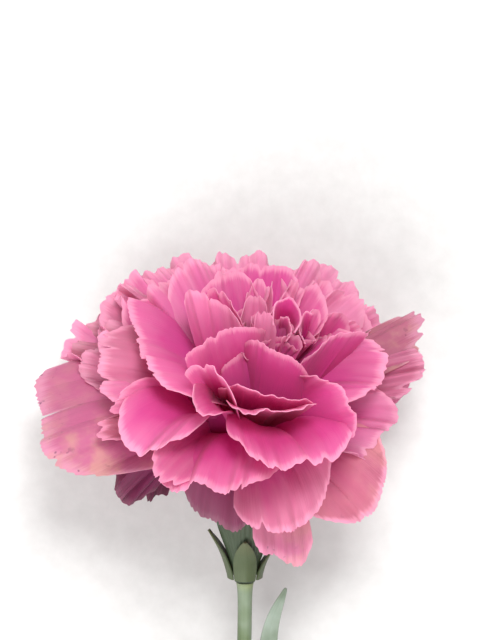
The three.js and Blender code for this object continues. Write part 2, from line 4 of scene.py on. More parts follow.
import bpy
import numpy as np
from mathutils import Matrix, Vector


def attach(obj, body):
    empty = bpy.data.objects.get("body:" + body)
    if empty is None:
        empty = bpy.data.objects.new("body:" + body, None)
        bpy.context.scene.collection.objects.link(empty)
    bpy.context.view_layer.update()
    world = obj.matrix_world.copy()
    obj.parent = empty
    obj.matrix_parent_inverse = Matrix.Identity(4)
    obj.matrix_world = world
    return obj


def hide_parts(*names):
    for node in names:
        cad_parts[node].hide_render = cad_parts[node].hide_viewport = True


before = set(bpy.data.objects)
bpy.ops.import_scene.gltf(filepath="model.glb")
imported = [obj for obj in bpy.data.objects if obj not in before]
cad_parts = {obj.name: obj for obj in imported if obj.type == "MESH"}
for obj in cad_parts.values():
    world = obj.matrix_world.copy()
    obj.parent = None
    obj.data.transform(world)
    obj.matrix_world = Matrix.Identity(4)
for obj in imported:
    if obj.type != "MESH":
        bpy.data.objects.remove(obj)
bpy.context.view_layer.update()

MM = 0.001


def vec(x, y, z):
    return np.array([x, y, z], float)


def unit(v):
    return v / np.linalg.norm(v)


def grid(rows, columns, first=-1):
    """Shares from 0 to 1 along, and values from first to 1 across."""
    along = np.linspace(0, 1, rows + 1)[:, None] * np.ones((1, columns + 1))
    across = np.linspace(first, 1, columns + 1)[None, :] * np.ones((rows + 1, 1))
    return along, across


# ---------- driving dimensions, in millimetres ----------
BLOOM_CENTRE = vec(-2.14, -3.38, 31.5)  # in the row frame
FACE_TILT = math.radians(30)
FACE = unit(vec(0.05, math.cos(FACE_TILT), math.sin(FACE_TILT)))
FRONT = vec(0, -math.sin(FACE_TILT), math.cos(FACE_TILT))
SIDE = unit(np.cross(FACE, FRONT))
MOUTH = vec(2, -15, -3.5)               # calyx mouth, from the bloom centre
STEM_DIR = unit(vec(0, -0.975, -0.22))
WHORL = vec(10, 10.5, 10)               # middle of the inner whorl, from the bloom centre
GAP = 0.3                               # between pieces that meet
FLOOR_CLEAR = 0.01                      # least height of a piece

CORE_RADII = (13.5, 13.0, 13.5)
CORE_CENTRE = vec(1, -5, 0)
CORE_RIPPLE = 0.04
CLAW_DEPTHS = (-6.0, 0.0, 6.0, 12.0)    # stations of the claws' bundle, below the mouth

CALYX_LENGTH = 27.3
CALYX_RADII = (7.6, 7.8, 6.9, 5.4, 3.4, 1.9)
CALYX_DEPTHS = np.linspace(0, CALYX_LENGTH, len(CALYX_RADII))
CALYX_RIM = -0.5                # the teeth's tips, below the mouth
CALYX_WALL = 1.0                # the claws stand inside it
CALYX_SKIN = 0.75               # thickness of the calyx
CALYX_TEETH = 5
TOOTH_HEIGHT = 5.0
TOOTH_BULGE = 0.8               # power of the teeth's sides, straight at 1
TOOTH_KEEL = 0.12
TOOTH_RIBS = 7                  # fine ribs to a tooth
RIB_HEIGHT = 0.07
RIM_FLARE = 0.12
OVARY_TOP = 12 + GAP            # below the mouth
OVARY_FOOT = 23.5 - GAP
OVARY_RADIUS = 2.1

BRACT_BASE = 26.6               # below the mouth
BRACT_HALF_ANGLE = 41
BRACT_TAPER = 0.93
BRACT_LIFT = 0.6                # of its middle surface, past the gap
BRACT_THICK = 0.62
BRACT_KEEL = (0.18, 0.25)       # height, width over half the bract's

STEM_RADIUS = 1.45
STEM_INSET = 0.03               # leaves room for the ridges
STEM_RIDGES = (6, 0.018)        # number, height over the radius
STEM_LEAD = 45                  # how far it follows the flower's axis
NODE_RADIUS = 2.4
NODE_REACH = 3.4 * 0.62         # half length of a joint's swelling
NODE_RING = (2.6, 0.12, 0.35)   # ring above a joint: how far, height, half width
NODE_SPOTS = (0.25, 0.66)
NECK = (0.35, 1.4)              # widening below the calyx: height, reach
CUT_END = (-4, -168)
CUT_SINK = 0.06                 # how much lower than its radius the cut end lies
CUT_LEAD = vec(1, 42, 2)

LEAF_THICK = 0.8
LEAF_TURN = 1.4                 # how soon a leaf turns flat after its joint
LEAF_OPENING = 9                # how much wider its channel is at the tip
LEAF_OUTLINE = (2.6, 0.8)       # powers of the narrowing toward the tip
LEAF_TIP = 0.25                 # half width there
LEAF_CREASE = 0.12
SHEATH_SHARE = 0.12             # part of its length that clasps the joint
SHEATH_ARC = 1.25               # half its arc there, in radians
SHEATH_FADE = 1.5
SHEATH_DROP = vec(0, -1, 0)     # of its foot from the joint's middle
SHEATH_CORNER = 1.8             # how far its corners are drawn out

PRESS = 1.2                     # how softly the surface bends the lowest petals
PRESS_REACH = 8 * PRESS         # height up to which it bends them
PETAL_THICK = (0.5, 0.14)       # root, rim
MODELLED = 0.95                 # part of its length, from the rim
ROOT_SPREAD = (6, 0.16)         # roots from the axis, at most, and over the reach
KNEE = (0.35, 0.65)             # lift of its middle, along the axis and the face
FAN_POWER = 1.25                # the larger, the later a petal widens
SEEN_FROM = 60 * FACE           # inner sides look that way
CORNER_ROUND = 0.17             # of the rim's corners, over its width
CORNER_POWER = 5
RIM_WAVE = 0.03                 # how much higher one side stands, likewise
RIM_TURN = 4.1
RIM_SHIFT = 6                   # how far a draw shifts a rim's waves
TOOTH_DEPTH = 0.42
CUT_SPAN = 0.7                  # farthest cut from the middle of the rim, over half
CUT_DEPTH = (0.5, 1.0)          # least, and what a draw adds
# Waves of a petal, coarse, fine and at the edge: how many, how deep, and how fast they grow.
WAVE_COUNTS = (1, 1.9, 4.3)
WAVE_DEPTHS = (1, 0.5, 0.2)
WAVE_GROWTHS = (2.6, 4, 7)
WAVE_SHIFT = 1.2                # how far the coarse waves shift the fine ones
WARP_DEPTH = 0.5                # on the scale of the waves
CRIMP = (0.20, 2.6, 12)         # crimped rim: depth, pitch, growth
CREASE_SPACING = 16
CREASE_SPAN = 0.65              # farthest crease from the middle
CREASE_LEAN = 0.12
CREASE_DEPTH = (0.10, 0.40)     # least, and what a draw adds
CREASE_WIDTH = 0.09
CLEFT_CREASE = (1.1, 0.10)      # crease below a deep cut: depth, width
SMALL_WIDTH = 13                # petals narrower than this are plainer
CURL = (1.3, -0.6)              # inward curl of the rim, of small and wide petals
CURL_RANGE = 1.6
CURL_GROWTH = 7
DIFF = 0.01                     # step for surface directions
TINY = 1e-12                    # against dividing by nothing

# ---------- petals ----------
# name: left corner, tip, right corner of the rim (from the bloom centre), rise, push, ruffle
# depth, waves, paleness. The first block is the part's own petals, in their order.
PETALS = [
    ("G1", (-11, -23, 11), (-4, -30, 10), (4, -30.5, 9), 6, 12, 0.8, 3, 0.6),
    ("G2", (0.5, -31.5, 14), (11.5, -29.8, 17), (21, -18.5, 18), 6, 12, 1, 4, 0.8),
    ("G3", (17, -31.6, 6), (28, -25.5, 9), (31.5, -14.5, 7), 5, 12, 0.9, 3, 0.8),
    ("G4", (3.6, -36, 4), (9.5, -37, 3), (16, -38, 2), 4, 9, 0.6, 3, 1),
    ("G5a", (-25.5, -19, 3), (-23, -25.5, 1), (-18, -25, -1), 5, 10, 1.2, 5, 0.3),
    ("G6", (-41.5, 0, -13), (-39.2, -11.5, 3), (-25.5, -23.5, 13), 20, 6, 0.9, 4, 0.62),
    ("G7a", (-32, -2, -12), (-34, 5, -16), (-27, 12.5, -20), 16, 0, 1.2, 5, 0.7),
    ("G7b", (-30, -3.5, -2), (-30, 5, -6), (-23.5, 11.5, -12), 16, 0, 1.2, 5, 0.65),
    ("G8", (-27.5, -1, 8), (-27.5, 5, 5), (-24.5, 11, -4), 20, 0, 0.8, 2, 0.8),
    ("G9", (-28, 7, -12), (-24.5, 17, -16), (-18, 14, -12), 20, 0, 1.2, 4, 0.65),
    ("B1", (-26, 13, -20), (-18.5, 21, -22), (-10, 21, -24), 20, 0, 1.2, 5, 0.7),
    ("B3", (-15, 17, -4), (-8, 23.5, -8), (0, 20, -9), 22, 0, 0.8, 5, 0.6),
    ("B4", (-7, 20.5, -20), (0.5, 25, -22), (8.5, 21, -22), 20, 0, 1, 4, 0.85),
    ("B5", (-3, 21.4, -6), (5, 22.6, -9), (13, 21.6, -10), 22, 0, 0.8, 3, 0.1),
    ("B6", (9.5, 20, -16), (15, 22.5, -18), (20.5, 17.5, -18), 20, 0, 1, 4, 0.7),
    ("B7", (13.5, 18, -22), (21.5, 21.5, -23), (27, 13, -20), 20, 0, 1, 4, 0.9),
    ("B9", (21, 13, -14), (28.5, 14, -15), (33, 5, -11), 18, 0, 1.2, 5, 0.7),
    ("R1", (33, 11.5, -11), (37.5, 12, -8), (38, 4, -4), 14, 0, 0.8, 3, 0.75),
    ("R2", (38, 6, -6), (37.5, 0.5, -3), (32, -6, 1), 12, 4, 1.2, 5, 0.7),
    ("R3", (32, -3, 4), (30.5, -11.5, 6), (23, -15.5, 11), 8, 8, 1.2, 4, 0.7),
    ("R4", (26.5, 9.6, 2), (30, 1, 8), (26, -5.5, 16), 20, 0, 1, 4, 0.4),
    ("R5", (14, 1.2, 22), (21.5, -3.2, 24.5), (24.8, -11.5, 23), 14, 14, 0.7, 3, 0.4),
    ("R6", (13.2, 3.4, 17), (20, 7.2, 14), (28, 10.8, 8), 14, 8, 0.5, 2, 0.12),
    ("R7", (14, 7, 10), (18.5, 12, 5), (25, 11, 0), 18, 4, 0.6, 2, 0.3),
    ("R8", (16, 13, -6), (22, 17, -10), (28, 11.5, -9), 20, 0, 0.8, 4, 0.95),
    ("F1", (-24.4, -7.6, 18), (-17.8, -14.9, 27), (-8.6, -11, 27.5), 20, 8, 0.9, 3, 0.45),
    ("F2", (-17, -20, 24), (-5, -22.4, 30), (9.5, -19, 29), 14, 7, 1.2, 5, 0.45),
    ("F3", (0, -12.5, 32), (10, -17.4, 35), (24, -13.4, 28), 17, 9, 1.1, 4, 0.4),
    ("F4", (-23, 17.5, -3), (-19.6, 5.5, 13), (-10.5, -4.5, 27), 22, 0, 1.3, 4, 0.42),
    ("F5", (-1, -4.2, 33), (6.5, -6.3, 35), (16.2, -4.8, 31), 13, 6, 0.6, 3, 0.5),
    ("F5b", (-3, -1.2, 30.5), (5, -2.3, 32.5), (16, -4.9, 31), 13, 5, 0.5, 3, 0.6),
    ("F6", (-9.2, 0, 29), (-5, 1.6, 31), (-1.2, -4.8, 34), 13, 6, 0.5, 2, 0.35),
    ("F8", (-10.8, 17.2, 10), (-5.5, 16, 12), (1.5, 11.8, 14), 18, 6, 0.7, 3, 0.55),
    ("F9", (-10.5, 5.5, 22), (-3, 8.2, 23), (5.5, 11.5, 17), 16, 10, 0.6, 3, 0.35),
    ("W1", (2.6, 8, 20), (8, 5.4, 25), (14.6, 1.8, 21), 13, 12, 0.3, 2, 0.15),
    ("W2", (-3.4, -0.5, 19), (-0.6, 3.2, 20.5), (4.6, 4.2, 17), 12, 12, 0.3, 2, 0.1),
    ("W3", (3.8, 11.4, 17.5), (5.9, 13.2, 18), (8.2, 9.6, 17.5), 16, 8, 0.3, 2, 0.8),
    ("W4", (6.6, 14, 10), (10.8, 16.4, 6.5), (13.2, 8.4, 12.5), 18, 2, 0.3, 2, 0.2),
    ("W6", (13, 8, 14), (15.4, 12.6, 10), (17.6, 11.6, 8), 18, 4, 0.5, 2, 0.35),
    ("W7", (0.3, 12.6, 11), (3.6, 16.3, 8), (7, 14.6, 9), 20, 2, 0.4, 2, 0.75),
    ("W9", (8.8, 17.4, 2), (11, 19.2, 0), (13.2, 18.2, 0), 20, 0, 0.4, 2, 0.9),
    ("W11", (12.6, 14.5, 4), (15.6, 18, 0), (19.8, 12.6, 2), 20, 0, 0.5, 2, 0.45),
    ("W12", (-6, 17.6, 6), (-2, 16.6, 8), (1.6, 12.4, 12), 20, 2, 0.4, 2, 0.3),
    ("W13", (-7.5, 17, 2), (-1, 20.4, -3), (4.6, 18.4, 0), 20, 0, 0.5, 3, 0.25),
    ("F7", (-19, 14, -4), (-14.5, 20, -6), (-8, 21.5, -8), 20, 0, 1, 3, 0.5),
]
# Small petals between the part's own, which only the fine bloom has.
SMALL_PETALS = [
    ("G5b", (-22, -24, -4), (-17, -24.5, -5), (-12, -21, -5), 5, 10, 1.2, 5, 0.3),
    ("G10", (-26.8, -0.6, 6), (-26.2, -4.4, 9.5), (-22.4, -6.2, 12), 16, 0, 0.5, 3, 0.7),
    ("B2", (-19, 18, -24), (-12.5, 23.5, -24), (-5, 21, -24), 20, 0, 1, 4, 0.85),
    ("R7b", (15.5, 8, 2), (22, 11, -2), (28, 8, -3), 20, 0, 1, 4, 0.4),
    ("W5", (7.6, 9.8, 16), (9.6, 12, 14.5), (11.4, 9, 15.5), 18, 4, 0.2, 2, 0.2),
    ("W5b", (8.6, 11.2, 11), (10.2, 12.6, 10), (12, 9.6, 12), 18, 4, 0.2, 2, 0),
    ("W6b", (10.4, 7.4, 18), (11.8, 8.8, 17.5), (13.2, 6, 17), 16, 4, 0.2, 2, 0.25),
    ("W8", (5.6, 16.6, 6), (7.2, 18.9, 3.5), (8.8, 17, 4.5), 20, 0, 0.3, 2, 1),
    ("W10", (13.2, 17.4, 0), (15, 18.9, -2), (17.2, 17.4, -2), 20, 0, 0.4, 2, 1),
    ("W14", (2, 17, 1), (4.8, 19.2, -1), (7.6, 17.8, 0), 20, 0, 0.4, 2, 0.4),
    ("B5b", (-6, 17.5, 0), (-3.4, 20.4, -3), (-0.4, 19, -2), 20, 0, 0.5, 2, 0.7),
    ("G11", (-20.5, -0.8, 14), (-24, -4.2, 15.5), (-26, -7.6, 14), 16, 2, 0.4, 2, 0.55),
    ("G12", (-26, -8.6, 9), (-28, -11.2, 11), (-25, -14, 13), 12, 4, 0.7, 3, 0.8),
    ("F10", (-16.4, -15.6, 26.5), (-16, -21, 27), (-10, -22, 28), 13, 8, 0.4, 2, 0.6),
    ("F11", (-9, -2.2, 31), (-6.8, -7.4, 33.5), (-3, -8.2, 34), 18, 12, 0.2, 2, 0.4),
]
# angle from the face, reach, azimuths (0 right, 90 straight down), width, rise, push, paleness
RINGS = [
    (126, 28, (62, 118), 20, 3, 12, 0.75),
    (111, 37, (45, 90, 135), 24, 5, 10, 0.7),
    (97, 39, (34, 62, 90, 118, 145), 24, 9, 8, 0.65),
    (80, 31, (50, 90, 130), 22, 14, 3, 0.55),
    (60, 24, (90,), 18, 18, 0, 0.45),
]
SMALL_RINGS = [
    (110, 33, (66, 112), 22, 5, 10, 0.7),
    (96, 34, (40, 74, 106, 140), 22, 9, 8, 0.65),
    (84, 31, (34, 70, 110, 146), 20, 12, 4, 0.6),
    (66, 26, (60, 120), 18, 16, 1, 0.5),
]
# Small petals packed round the middle of the whorl: radius, number, width, rise.
WHORL_RINGS = [
    (3.4, 4, 5.0, 18),
    (6.0, 7, 6.0, 18),
    (8.8, 9, 7.5, 19),
    (11.8, 11, 8.5, 20),
]
# Petals of those rings that would grow through R6 and W1.
LEFT_OUT = {"W717", "W721", "W722", "W723"}
WHORL_LIFT = 34                   # the larger, the flatter the whorl
WHORL_SHOULDER = 0.8              # how far corners stand below the tip
WIDEST_TURN = 1.1                 # half the widest arc of a petal, in radians
# Rolled petals in the middle of the whorl, open toward the viewer: middle of the mouth (from the
# bloom centre), half width, half height, first and last angle of the roll, depth, paleness.
ROLLS = [
    ((10.2, 11.7, 17.4), 2.5, 3.6, -55, 205, 9, 0.05),
    ((9.7, 9.4, 17.2), 1.3, 2.3, -80, 120, 7, 0.4),
    ((14.6, 9.6, 15.5), 1.6, 3.0, 60, 250, 8, 0.3),
]
ROLL_ACROSS = vec(1, 0, 0)        # width of a roll's mouth
ROLL_UP = vec(0, 0.97, -0.24)     # height of a roll's mouth
ROLL_IN = vec(0.12, 0.42, 0.90)   # from its bottom to its mouth
ROLL_THICK = (0.45, 0.27)         # bottom, rim
ROLL_TEETH = 13
# Petals whose rims have begun to wilt, and how far.
WILTED = {"G3": 0.4, "G4": 0.6, "G6": 1.0, "G7a": 0.35, "G7b": 0.25, "R1": 1.0, "R2": 0.2}
# Old outer petals whose magenta has faded to salmon, and how far.
FADED = {"G1": 0.4, "G2": 0.45, "G3": 1.0, "G4": 0.2, "G6": 1.0, "G7a": 1.0, "G7b": 1.0,
         "G8": 0.5, "G9": 1.0, "G12": 1.0, "F10": 0.2, "R1": 1.0, "R2": 0.8}
# Petals in the shade under and beside the bloom, and how far painted shade darkens their colour.
PAINTED_SHADE = {"G1": 0.6, "G5a": 0.7, "G5b": 0.85, "G6": 0.20, "G7a": 0.12, "G7b": 0.10,
          "R1": 0.25, "R2": 0.12, "R3": 0.12}
# Deep cuts in a rim, each with a crease below it: place across the petal, and depth.
CLEFTS = {
    "G3": [(-0.3, 0.4)],
    "G6": [(-0.22, 2.6), (0.42, 0.8), (-0.62, 0.3), (0.1, 0.4), (0.72, 0.5)],
    "F3": [(0.36, 1.5)],
}
# Rims with no cut.
WHOLE_RIMS = {"G1", "G4"}

RING_SEED = 500
SMALL_SEED = 100
SMALL_RING_SEED = 600
WHORL_SEED = 700
ROLL_SEED = 800


def draw(seed, k):
    """A repeatable draw between 0 and 1."""
    x = math.sin(seed * 12.9898 + k * 78.233) * 43758.5453
    return x - math.floor(x)


def ring_petals(rings, first_seed):
    """Rows for petals round the face, by azimuth, each shifted and sized a little by draws."""
    rows = []
    for theta, reach, azimuths, width, rise, push, pale in rings:
        for azimuth in azimuths:
            s = first_seed + len(rows)
            a = math.radians(azimuth + 10 * (draw(s, 1) - 0.5))
            t = math.radians(theta + 10 * (draw(s, 2) - 0.5))
            r = reach * (0.95 + 0.1 * draw(s, 3))
            radial = math.cos(a) * SIDE - math.sin(a) * FRONT
            around = -math.sin(a) * SIDE - math.cos(a) * FRONT
            tip = r * (math.sin(t) * radial + math.cos(t) * FACE)
            half = width * (0.9 + 0.2 * draw(s, 4)) / 2
            corner = tip - 0.22 * width * math.sin(t) * radial - 4 * (draw(s, 5) - 0.5) * FACE
            ruffle = 0.9 + 0.7 * draw(s, 6)
            waves = 3 + math.floor(3 * draw(s, 7))
            rows.append((f"X{s}", corner - half * around, tip, corner + half * around,
                         rise, push, ruffle, waves, pale))
    return rows


def whorl_spot(angle, radius, drop):
    """A point beside the middle of the whorl and a drop below it, along the whorl's axis."""
    axis = unit(WHORL - MOUTH)
    across = unit(np.cross(axis, FRONT))
    ahead = np.cross(across, axis)
    return WHORL + radius * (math.cos(angle) * across + math.sin(angle) * ahead) - drop * axis


def whorl_petals():
    """Short cupped petals standing round the middle of the whorl, lower farther out."""
    rows = []
    for radius, count, width, rise in WHORL_RINGS:
        for k in range(count):
            s = WHORL_SEED + len(rows)
            a = 2 * math.pi * (k + 0.6 * draw(s, 1)) / count + radius
            r = radius * (0.9 + 0.2 * draw(s, 2))
            drop = r ** 2 / WHORL_LIFT + 2.2 * (draw(s, 3) - 0.5)
            turn = min(width * (0.85 + 0.3 * draw(s, 4)) / (2 * r), WIDEST_TURN)
            tilt = 2.0 * (draw(s, 5) - 0.5)
            left = whorl_spot(a - turn, r, drop + WHORL_SHOULDER + tilt)
            tip = whorl_spot(a, 1.05 * r, drop)
            right = whorl_spot(a + turn, r, drop + WHORL_SHOULDER - tilt)
            pale = 0.02 + 0.28 * draw(s, 6)
            rows.append((f"W{s}", left, tip, right, rise, 3, 0.45, 2 + k % 2, pale))
    return rows


class Petal:
    """A curved spine from the calyx to the tip, spread until its rim runs through three points."""

    def __init__(self, row, seed):
        self.name, left, tip, right, rise, push, self.ruffle, self.waves, self.pale = row
        self.seed = seed
        left, self.tip, right = (np.array(p, float) for p in (left, tip, right))
        axis = -STEM_DIR
        flat = self.tip - MOUTH
        flat = flat - (flat @ axis) * axis
        reach = np.linalg.norm(flat)
        outward = flat / reach
        most, share = ROOT_SPREAD
        self.root = MOUTH + outward * min(most, share * reach)
        self.knee = self.root + rise * (KNEE[0] * axis + KNEE[1] * FACE) + push * outward
        self.half_span = (right - left) / 2
        self.sag = (left + right) / 2 - self.tip
        self.width = np.linalg.norm(right - left)
        self.length = np.linalg.norm(self.tip - self.root)
        self.sign = 1.0
        middle = (np.array(0.6), np.array(0.0))
        if self.normal(*middle) @ (SEEN_FROM - self.bare(*middle)) < 0:
            self.sign = -1.0
        small, wide = CURL
        curl = small if self.width < SMALL_WIDTH else wide
        self.curl = curl + CURL_RANGE * (draw(seed, 41) - 0.5)

    def bare(self, u, v):
        """The surface without waves: u runs from the root to the tip, v from corner to corner."""
        u, v = u[..., None], v[..., None]
        spread = np.sin(math.pi / 2 * np.clip(u, 0, 1)) ** FAN_POWER
        spine = (1 - u) ** 2 * self.root + 2 * u * (1 - u) * self.knee + u ** 2 * self.tip
        return spine + spread * (v * self.half_span + v ** 2 * self.sag)

    def normal(self, u, v):
        along = self.bare(u + DIFF, v) - self.bare(u - DIFF, v)
        across = self.bare(u, v + DIFF) - self.bare(u, v - DIFF)
        n = np.cross(across, along)
        return self.sign * n / (np.linalg.norm(n, axis=-1, keepdims=True) + TINY)

    def cuts(self):
        """Places across the rim and depths of its cuts."""
        s = self.seed
        count = 0 if self.name in WHOLE_RIMS else math.floor(3 * draw(s, 6))
        least, more = CUT_DEPTH
        drawn = [(CUT_SPAN * (2 * draw(s, 7 + k) - 1), least + more * draw(s, 10 + k))
                 for k in range(count)]
        return drawn + CLEFTS.get(self.name, [])

    def rim(self, v):
        """Outline of the rim: rounded corners, fine teeth and a few deeper cuts."""
        s = self.seed
        teeth = max(8, round(self.width * (0.85 + 0.2 * draw(s, 1))))
        shift = [RIM_SHIFT * draw(s, k) for k in (2, 4, 5, 13)]
        phase = v * teeth / 2 + 0.35 * np.sin(v * 9 + shift[0]) + draw(s, 3)
        saw = np.abs(phase % 1 - 0.5) * 2
        uneven = np.abs(np.sin(v * 5.3 + shift[1]) * np.sin(v * 11.9 + shift[2]))
        cut = TOOTH_DEPTH / max(12, self.length) * saw * (0.25 + 0.75 * uneven)
        for at, depth in self.cuts():
            cut = cut + depth / self.length * np.exp(-((v - at) * self.width) ** 2)
        corner = CORNER_ROUND * np.abs(v) ** CORNER_POWER
        wave = RIM_WAVE * np.sin(v * RIM_TURN + shift[3])
        return 1 - self.width / self.length * (corner + wave) - cut

    def ruffles(self, u, v):
        """Height of waves, crimps, creases and curl above the bare surface."""
        p0, p1, p2, p3 = (2 * math.pi * draw(self.seed, k) for k in (20, 21, 22, 23))
        turn = math.pi * self.waves * v / 2
        coarse = np.sin(WAVE_COUNTS[0] * turn + p0)
        fine = np.sin(WAVE_COUNTS[1] * turn + p1 + WAVE_SHIFT * coarse)
        edge = np.sin(WAVE_COUNTS[2] * turn + p2)
        warp = np.sin(3.1 * v + 2.2 * u + p3) * np.sin(4.3 * u - 1.7 * v + p0)
        waves = sum(depth * wave * u ** growth for wave, depth, growth
                    in zip((coarse, fine, edge), WAVE_DEPTHS, WAVE_GROWTHS))
        height = self.ruffle * (waves + WARP_DEPTH * warp * u)
        within = np.clip(u, 0, 1)
        depth, pitch, growth = CRIMP
        crimp = np.sin(math.pi * self.width * v / pitch + 2.5 * coarse + p3) * (0.6 + 0.4 * fine)
        height = height + depth * crimp * within ** growth
        height = height - self.creases(u, v)
        return height + self.curl * within ** CURL_GROWTH * (0.6 + 0.4 * np.cos(2.6 * v + p1))

    def creases(self, u, v):
        """Depth of the creases that run from the root to the rim."""
        s = self.seed
        least, more = CREASE_DEPTH
        total = np.zeros_like(u)
        for k in range(1 + math.floor(self.width / CREASE_SPACING + draw(s, 30))):
            lean = CREASE_LEAN * (u - 1) * (draw(s, 51 + k) - 0.5)
            at = CREASE_SPAN * (2 * draw(s, 31 + k) - 1) + lean
            depth = (least + more * draw(s, 61 + k) ** 2) * min(1, self.width / 14)
            total = total + depth * np.exp(-np.abs(v - at) / CREASE_WIDTH) * fade(u, 0.95)
        depth, width = CLEFT_CREASE
        for at, _ in CLEFTS.get(self.name, []):
            total = total + depth * np.exp(-np.abs(v - at) / width) * fade(u, 0.97)
        return total

    def surface(self, rows, columns):
        """Middle surface, its normals, the share of the way to the rim, and v, all on one grid."""
        _, v = grid(rows, columns)
        share = 1 - MODELLED * np.linspace(1, 0, rows + 1) ** 1.4
        share = share[:, None] * np.ones((1, columns + 1))
        u = share * self.rim(v)
        height = self.ruffles(u, v)
        points = self.bare(u, v) + self.normal(u, v) * height[..., None] + BLOOM_CENTRE
        z = points[..., 2]
        pressed = PRESS * np.log1p(np.exp(np.minimum(z, PRESS_REACH) / PRESS))
        points[..., 2] = np.where(z < PRESS_REACH, pressed, z)
        n = np.cross(np.gradient(points, axis=1), np.gradient(points, axis=0))
        n *= self.sign / (np.linalg.norm(n, axis=-1, keepdims=True) + TINY)
        return points, n, share, v


def fade(u, last):
    """Zero at the root, one half way, low again at the rim."""
    return np.sin(math.pi * np.clip(u, 0, last)) ** 0.5


# ---------- meshes ----------
SHARP_EDGE = math.radians(60)


def grid_faces(rows, columns, flip):
    """Quads of a closed blade over two stacked grids, and the band round its rim."""
    index = np.arange((rows + 1) * (columns + 1)).reshape(rows + 1, columns + 1)
    layer = index.size
    quads = np.stack([index[:-1, :-1], index[:-1, 1:], index[1:, 1:], index[1:, :-1]], -1)
    quads = quads.reshape(-1, 4)
    loop = np.concatenate([index[0], index[1:, -1], index[-1, -2::-1], index[-2:0:-1, 0]])
    after = np.roll(loop, -1)
    band = np.stack([loop, loop + layer, after + layer, after], -1)
    if flip:
        quads, band = quads[:, ::-1], band[:, ::-1]
    return np.concatenate([quads, quads[:, ::-1] + layer, band])


def blade(points, normals, thickness, flip=False):
    """Closed blade over a grid of middle points. Its first layer is where the normals point."""
    half = np.asarray(thickness)[..., None] / 2
    layers = [(points + normals * half).reshape(-1, 3), (points - normals * half).reshape(-1, 3)]
    rows, columns = points.shape[0] - 1, points.shape[1] - 1
    return np.concatenate(layers), grid_faces(rows, columns, flip)


def both_layers(u, v):
    """The attributes u and v at the vertices of a blade."""
    return {"u": np.tile(u.ravel(), 2), "v": np.tile(v.ravel(), 2)}


def unit_normals(points):
    """Normals of a grid of points, from its own steps."""
    normals = np.cross(np.gradient(points, axis=1), np.gradient(points, axis=0))
    return normals / np.linalg.norm(normals, axis=-1, keepdims=True)


def tube_faces(rings, turns):
    """Quads of a tube of vertex rings, open at both ends."""
    faces = []
    for i in range(rings - 1):
        for k in range(turns):
            n = (k + 1) % turns
            faces.append((i * turns + k, i * turns + n, (i + 1) * turns + n, (i + 1) * turns + k))
    return faces


def closed_tube_faces(rings, turns):
    """The same with a face at each end."""
    first = tuple(range(turns))[::-1]
    last = tuple((rings - 1) * turns + k for k in range(turns))
    return tube_faces(rings, turns) + [first, last]


def make_piece(name, parts, material, nodes):
    """One mesh object from (verts, faces, attributes) parts, in millimetres in the row frame."""
    verts, faces, values, start = [], [], {}, 0
    for part_verts, part_faces, attributes in parts:
        verts.append(part_verts)
        faces += [tuple(int(i) + start for i in face) for face in part_faces]
        start += len(part_verts)
        for key, value in attributes.items():
            values.setdefault(key, []).append(np.broadcast_to(value, len(part_verts)))
    mesh = bpy.data.meshes.new(name)
    mesh.from_pydata((np.concatenate(verts) * MM).tolist(), [], faces)
    for key, value in values.items():
        layer = mesh.attributes.new(key, "FLOAT", "POINT")
        layer.data.foreach_set("value", np.concatenate(value).astype(np.float32))
    mesh.polygons.foreach_set("use_smooth", [True] * len(mesh.polygons))
    mesh.set_sharp_from_angle(angle=SHARP_EDGE)
    mesh.materials.append(material)
    piece = bpy.data.objects.new(name, mesh)
    bpy.context.scene.collection.objects.link(piece)
    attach(piece, "root")
    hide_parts(*nodes)


# Mesh steps from root to rim, and columns per millimetre of the rim. Petals under the bloom and
# small ones have fewer.
FINE_ROWS = 24
PLAIN_ROWS = 18
FINE_COLUMNS = 5.5
PLAIN_COLUMNS = 3.8
FEWEST_COLUMNS = 38
MOST_COLUMNS = 150
ROLL_ROWS = 24
ROLL_COLUMNS = 72


def petal_values(u, v, pale, seed, name=""):
    """What the petal material reads at each vertex of a blade."""
    return {
        **both_layers(u, v),
        "pale": pale,
        "draw": draw(seed, 40),
        "wilt": WILTED.get(name, 0.0),
        # How far painted shade darkens the petal.
        "dull": PAINTED_SHADE.get(name, 0.0),
        "faded": FADED.get(name, 0.0),
        "inner": np.repeat([1.0, 0.0], u.size),
    }


def petal_part(petal):
    plain = petal.name[0] == "X" or petal.width < SMALL_WIDTH
    rows = PLAIN_ROWS if plain else FINE_ROWS
    per_mm = PLAIN_COLUMNS if plain else FINE_COLUMNS
    columns = int(min(MOST_COLUMNS, max(FEWEST_COLUMNS, petal.width * per_mm)))
    points, normals, u, v = petal.surface(rows, columns)
    root, rim = PETAL_THICK
    verts, faces = blade(points, normals, root + (rim - root) * u, flip=petal.sign < 0)
    verts[:, 2] = np.maximum(verts[:, 2], FLOOR_CLEAR)
    return verts, faces, petal_values(u, v, petal.pale, petal.seed, petal.name)


